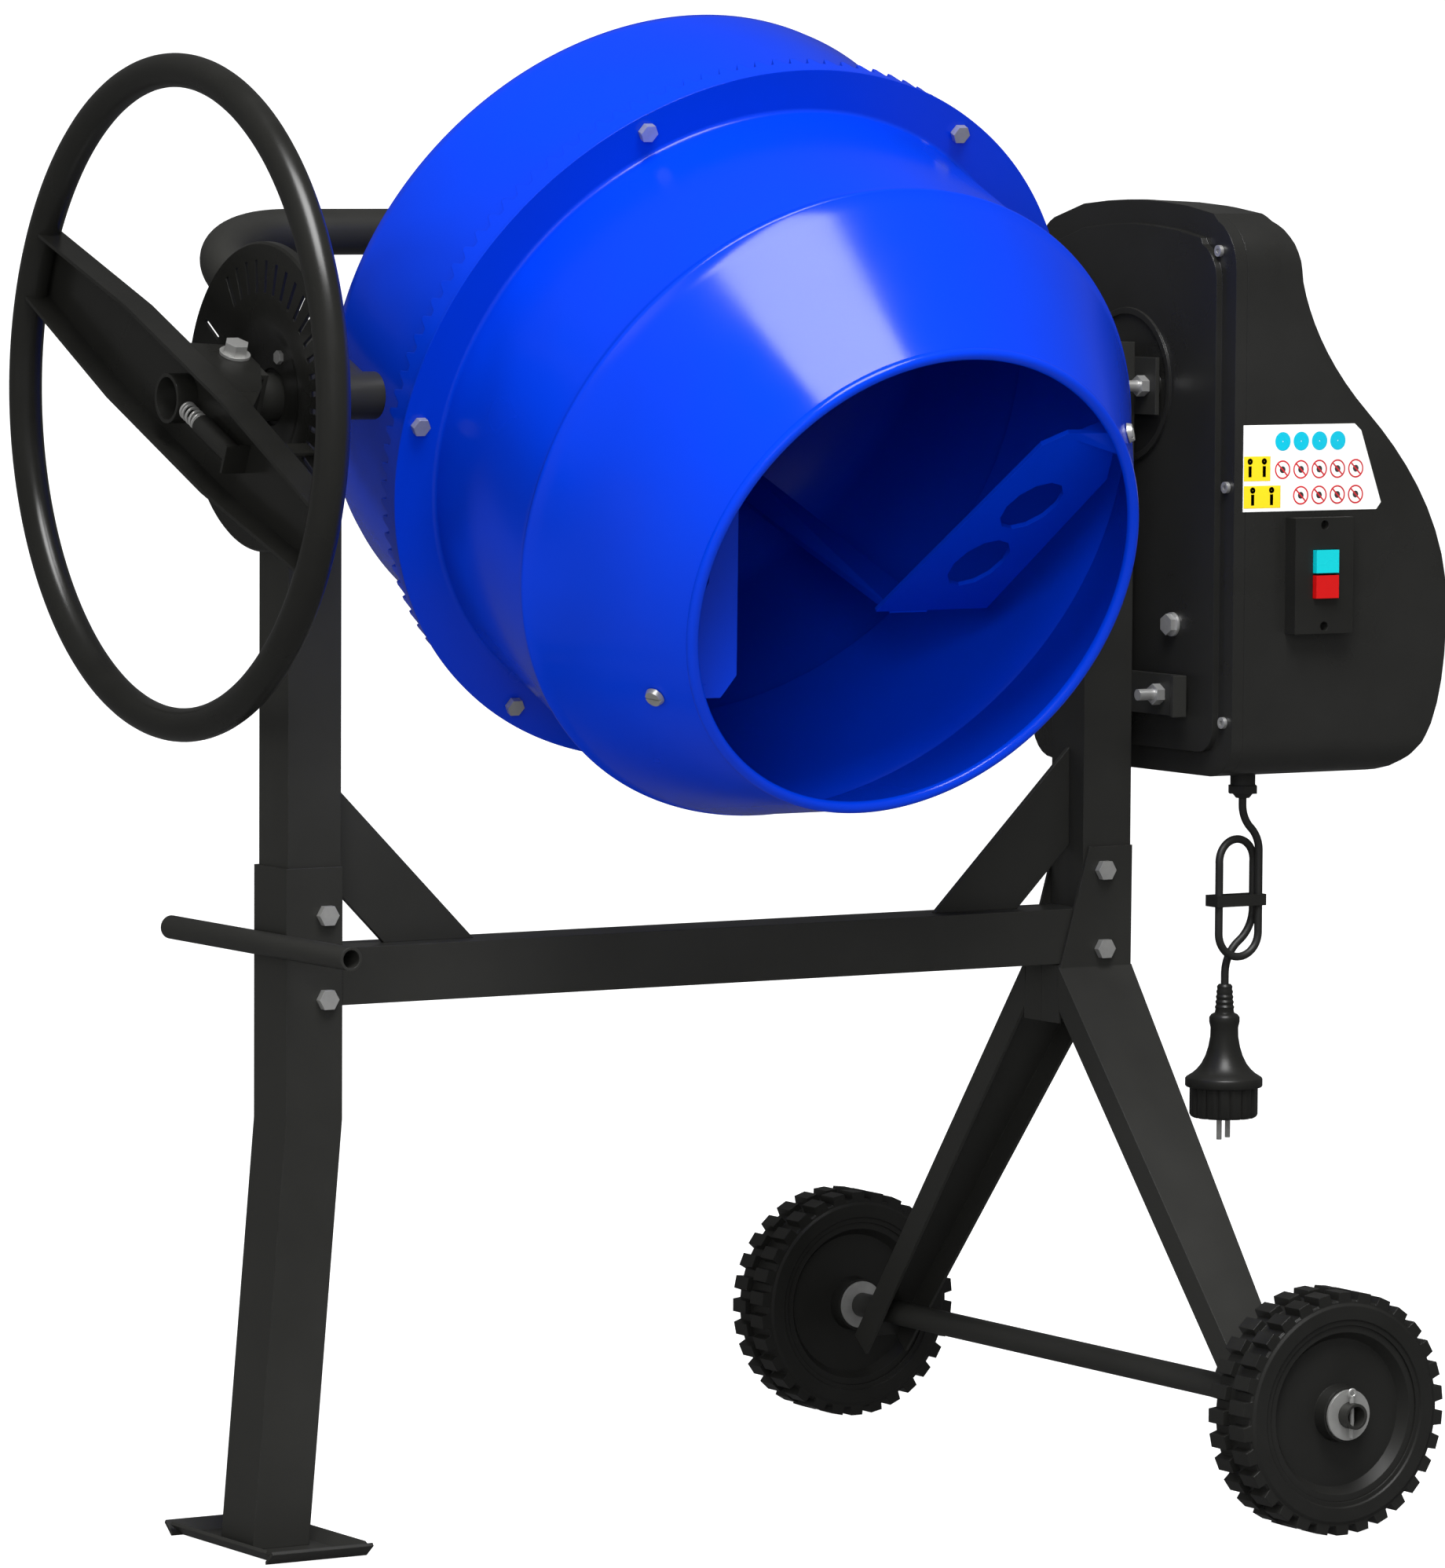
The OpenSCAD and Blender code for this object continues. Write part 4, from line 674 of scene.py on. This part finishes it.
@dataclass
class Drum:
    """The two drum shells, turned smooth."""

    steps: int = 240
    sheet: float = 0.0025

    def front(self) -> Shell:
        """Front shell: flange, straight band, step bead, cone and rolled mouth, 2.5 mm thick."""
        t = self.sheet
        s0, s1, r, b = 0.0555, 0.058, 0.284, 0.005
        outer = np.concatenate([
            [[0.322, s0], [0.322, s1]], arc(r + 0.004, s1 + 0.004, 0.004, 270, 180, 6),
            [[r, 0.10], [r, 0.15], [r, 0.19], [r, 0.208]],
            arc(r + 0.006, 0.212, 0.006, 180, 160, 2)[1:], [[0.2875, 0.2195]],
            arc(0.2865, 0.2245, 0.0035, -20, 60, 6)])
        cone = np.linspace(0.0, 1.0, 14)[1:-1, None]
        start, end = outer[-1], np.array([0.2118, 0.3635])
        bead = arc(0.2125 - b, 0.366, b, -30, 300, 22)
        skin = np.concatenate([outer, start + (end - start) * cone, bead])
        inner_end = bead[-1]
        inner_start = np.array([0.2855, 0.2255])
        inner = np.concatenate([inner_end + (inner_start - inner_end) * cone,
                                [[0.2868, 0.2225], [0.285, 0.2195], [r - t, 0.210], [r - t, 0.19],
                                 [r - t, 0.15], [r - t, 0.10], [r - t, s0]]])
        return revolve(np.concatenate([skin, inner]), self.steps, True)

    def rear(self) -> Shell:
        """Rear shell: flat bottom, rounded corner, cone, straight band and flange."""
        t = self.sheet
        outer = np.array([[0.0005, -0.250], [0.142, -0.250], [0.149, -0.2485], [0.156, -0.2435],
                          [0.22, -0.188], [0.27, -0.1445], [0.290, -0.126], [0.2955, -0.119],
                          [0.2975, -0.108], [0.298, -0.06], [0.298, 0.0], [0.298, 0.049],
                          [0.3, 0.053], [0.320, 0.053], [0.320, 0.0555]])
        inner = np.array([[0.298 - t, 0.0555], [0.298 - t, 0.0], [0.298 - t, -0.06],
                          [0.295, -0.107], [0.2932, -0.117], [0.2883, -0.1238], [0.268, -0.1425],
                          [0.218, -0.186], [0.1545, -0.2415], [0.148, -0.246], [0.141, -0.2475],
                          [0.0005, -0.2475]])
        return revolve(np.concatenate([outer, inner]), self.steps, True)

    def build(self, finish: bpy.types.Material) -> None:
        """Both shells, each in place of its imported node."""
        frame = drum_frame()
        points, faces = self.front()
        make_piece("drum_front_shell", (place(points, frame), faces), "drum", finish,
                   ("drum_front",), angle=50.0)
        points, faces = self.rear()
        make_piece("drum_rear_shell", (place(points, frame), faces), "drum", finish,
                   ("drum_rear",), angle=50.0)


@dataclass
class Handwheel:
    """The handwheel's round rim and its spring."""

    radius: float = 0.268
    tube: float = 0.014
    plane: float = -0.5145

    def build(self, paint: bpy.types.Material, zinc: bpy.types.Material) -> None:
        """A ring of round section, and a coil whose pitch closes up at both ends."""
        frame = tilted_frame()
        turn = turn_about((0, 1, 0), math.pi / 2)
        ring = revolve(arc(self.radius, 0, self.tube, 0, 360, 32)[:-1], 192, True)
        points = ring[0] @ turn.T + np.array([self.plane, 0, 0])
        make_piece("handwheel_ring", (place(points, frame), ring[1]), "handwheel", paint,
                   ("handwheel_rim",))
        turns = 5.5
        t = np.linspace(0.0, 1.0, 180)
        a = 2 * math.pi * turns * t
        along = t + 0.06 * np.sin(2 * math.pi * t) * -1.0
        coil = np.stack([self.plane + 0.001 + 0.0066 * np.cos(a), -0.0221 - 0.0268 * along,
                         0.0066 * np.sin(a)], -1)
        points, faces = sweep(coil, 0.00125, 10)
        make_piece("spring_coil", (place(points, frame), faces), "handwheel", zinc,
                   ("return_spring",))


@dataclass
class SafetyLabel:
    """Generic marks on the label: plain discs, rings and two blocks."""

    left: float = 0.3775
    face: float = -0.1556
    z: float = 0.850

    def disc(self, x: float, z: float, r: float, hole: float) -> Shell:
        """A flat ring of outer radius r and hole radius hole, 0.1 mm thick, facing -Y."""
        a = np.linspace(0, 2 * math.pi, 32, endpoint=False)
        radii = np.array([hole, r, r, hole])[:, None]
        y = np.array([-0.0001, -0.0001, 0.00005, 0.00005])[:, None]
        grid = np.stack([x + radii * np.cos(a), np.broadcast_to(self.face + y, (4, 32)),
                         z + radii * np.sin(a)], -1)
        return grid_shell(grid, True, True)

    def block(self, x: float, z: float, w: float, h: float) -> Shell:
        """A flat rectangle, 0.1 mm thick."""
        xs, zs = np.array([x, x + w, x + w, x]), np.array([z, z, z + h, z + h])
        grid = np.stack([np.stack([xs, np.full(4, self.face + y), zs], -1) for y in (-0.0001, 0.00005)])
        return grid_shell(grid, False, True, cap=True)

    def bar(self, x: float, z: float, reach: float, width: float) -> Shell:
        """A flat slanting bar through (x, z), just above the rings."""
        s = math.sqrt(0.5)
        along, side = np.array([-s, s]) * reach, np.array([s, s]) * width / 2
        ring = np.array([x, z]) + np.array([along + side, -along + side, -along - side, along - side])
        grid = np.stack([np.stack([ring[:, 0], np.full(4, self.face + y), ring[:, 1]], -1)
                         for y in (-0.00015, 0.00005)])
        return grid_shell(grid, False, True, cap=True)

    def build(self, tints: dict[str, bpy.types.Material]) -> None:
        """The rows of marks, one piece a colour."""
        x0, z0 = self.left, self.z
        first, pitch, radius = x0 + 0.0415, 0.0195, 0.0082
        cyan = [self.disc(first + pitch * i, z0 + 0.0615, radius, 0.0005) for i in range(4)]
        make_piece("label_discs", merge(cyan), "stand", tints["cyan"])
        rows = [(first + pitch * i, z0 + 0.037) for i in range(5)]
        rows += [(x0 + 0.061 + pitch * i, z0 + 0.0145) for i in range(4)]
        red = [self.disc(x, z, radius, 0.0068) for x, z in rows]
        red += [self.bar(x, z, 0.0074, 0.0014) for x, z in rows]
        dots = [self.disc(x, z, 0.003, 0.0003) for x, z in rows]
        dots += [self.disc(x0 + x, z0 + z, 0.0028, 0.0003)
                 for x, z in ((0.007, 0.0445), (0.022, 0.0445), (0.010, 0.0195), (0.030, 0.0195))]
        dots += [self.block(x0 + x - 0.0017, z0 + z, 0.0034, 0.0095)
                 for x, z in ((0.007, 0.031), (0.022, 0.031), (0.010, 0.0065), (0.030, 0.0065))]
        blocks = [self.block(x0 + 0.0005, z0 + 0.0275, 0.028, 0.0215),
                  self.block(x0 + 0.0005, z0 + 0.004, 0.039, 0.0195)]
        make_piece("label_rings", merge(red), "stand", tints["red"])
        make_piece("label_blocks", merge(blocks), "stand", tints["yellow"])
        make_piece("label_dots", merge(dots), "stand", tints["dark"])


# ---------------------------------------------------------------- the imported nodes


class Dresser:
    """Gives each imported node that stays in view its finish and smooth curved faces."""

    def __init__(self, frame: dict, finishes: dict[Slot, bpy.types.Material]) -> None:
        """Reads each node's slot from the record."""
        self.nodes = frame["nodes"]
        self.finishes = finishes
        self.slots = {p["node"]: Slot(p["material_slot"]) for p in frame["record"]["subparts"]}

    def dress(self, name: str) -> None:
        """Sets one node's material, welds its loose triangles and keeps its sharp edges."""
        node = self.nodes[name]
        node.data.materials.clear()
        node.data.materials.append(self.finishes[self.slots[name]])
        flags = np.ones(len(node.data.polygons), bool)
        node.data.polygons.foreach_set("use_smooth", flags)
        weld = node.modifiers.new("weld", "WELD")
        weld.merge_threshold = 0.00001
        split = node.modifiers.new("sharp_edges", "EDGE_SPLIT")
        split.split_angle = math.radians(30)
        split.use_edge_sharp = False

    def build(self) -> None:
        """Dresses every node."""
        for name in sorted(self.nodes):
            self.dress(name)
        log.info("dressed %d packed nodes", len(self.nodes))


def main() -> None:
    """Builds the room, the finishes and each piece in order."""
    logging.basicConfig(level=logging.INFO, format="%(name)s: %(message)s")
    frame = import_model()
    Room().build()
    groups = ShaderGroups()
    finishes = {f.slot: f.build(groups) for f in FINISHES}
    Dresser(frame, finishes).build()
    nodes = frame["nodes"]
    plug = Plug().build(finishes[Slot.BLACK])
    Lead().build(finishes[Slot.RUBBER], [plug, nodes["plug_pins"], nodes["lead_tie"]])
    Drum().build(finishes[Slot.DRUM])
    Handwheel().build(finishes[Slot.HANDWHEEL], finishes[Slot.ZINC])
    tints = {
        "cyan": Finish(Slot.LABEL, (0.0, 0.45, 0.6), (0.0, 0.4, 0.55), 0.3).build(groups),
        "red": Finish(Slot.LABEL, (0.6, 0.02, 0.03), (0.5, 0.02, 0.03), 0.3).build(groups),
        "yellow": Finish(Slot.LABEL, (0.8, 0.6, 0.01), (0.75, 0.55, 0.01), 0.3).build(groups),
        "dark": Finish(Slot.LABEL, (0.03, 0.03, 0.03), (0.04, 0.04, 0.04), 0.3).build(groups),
    }
    SafetyLabel().build(tints)


if __name__ == "__main__":
    main()
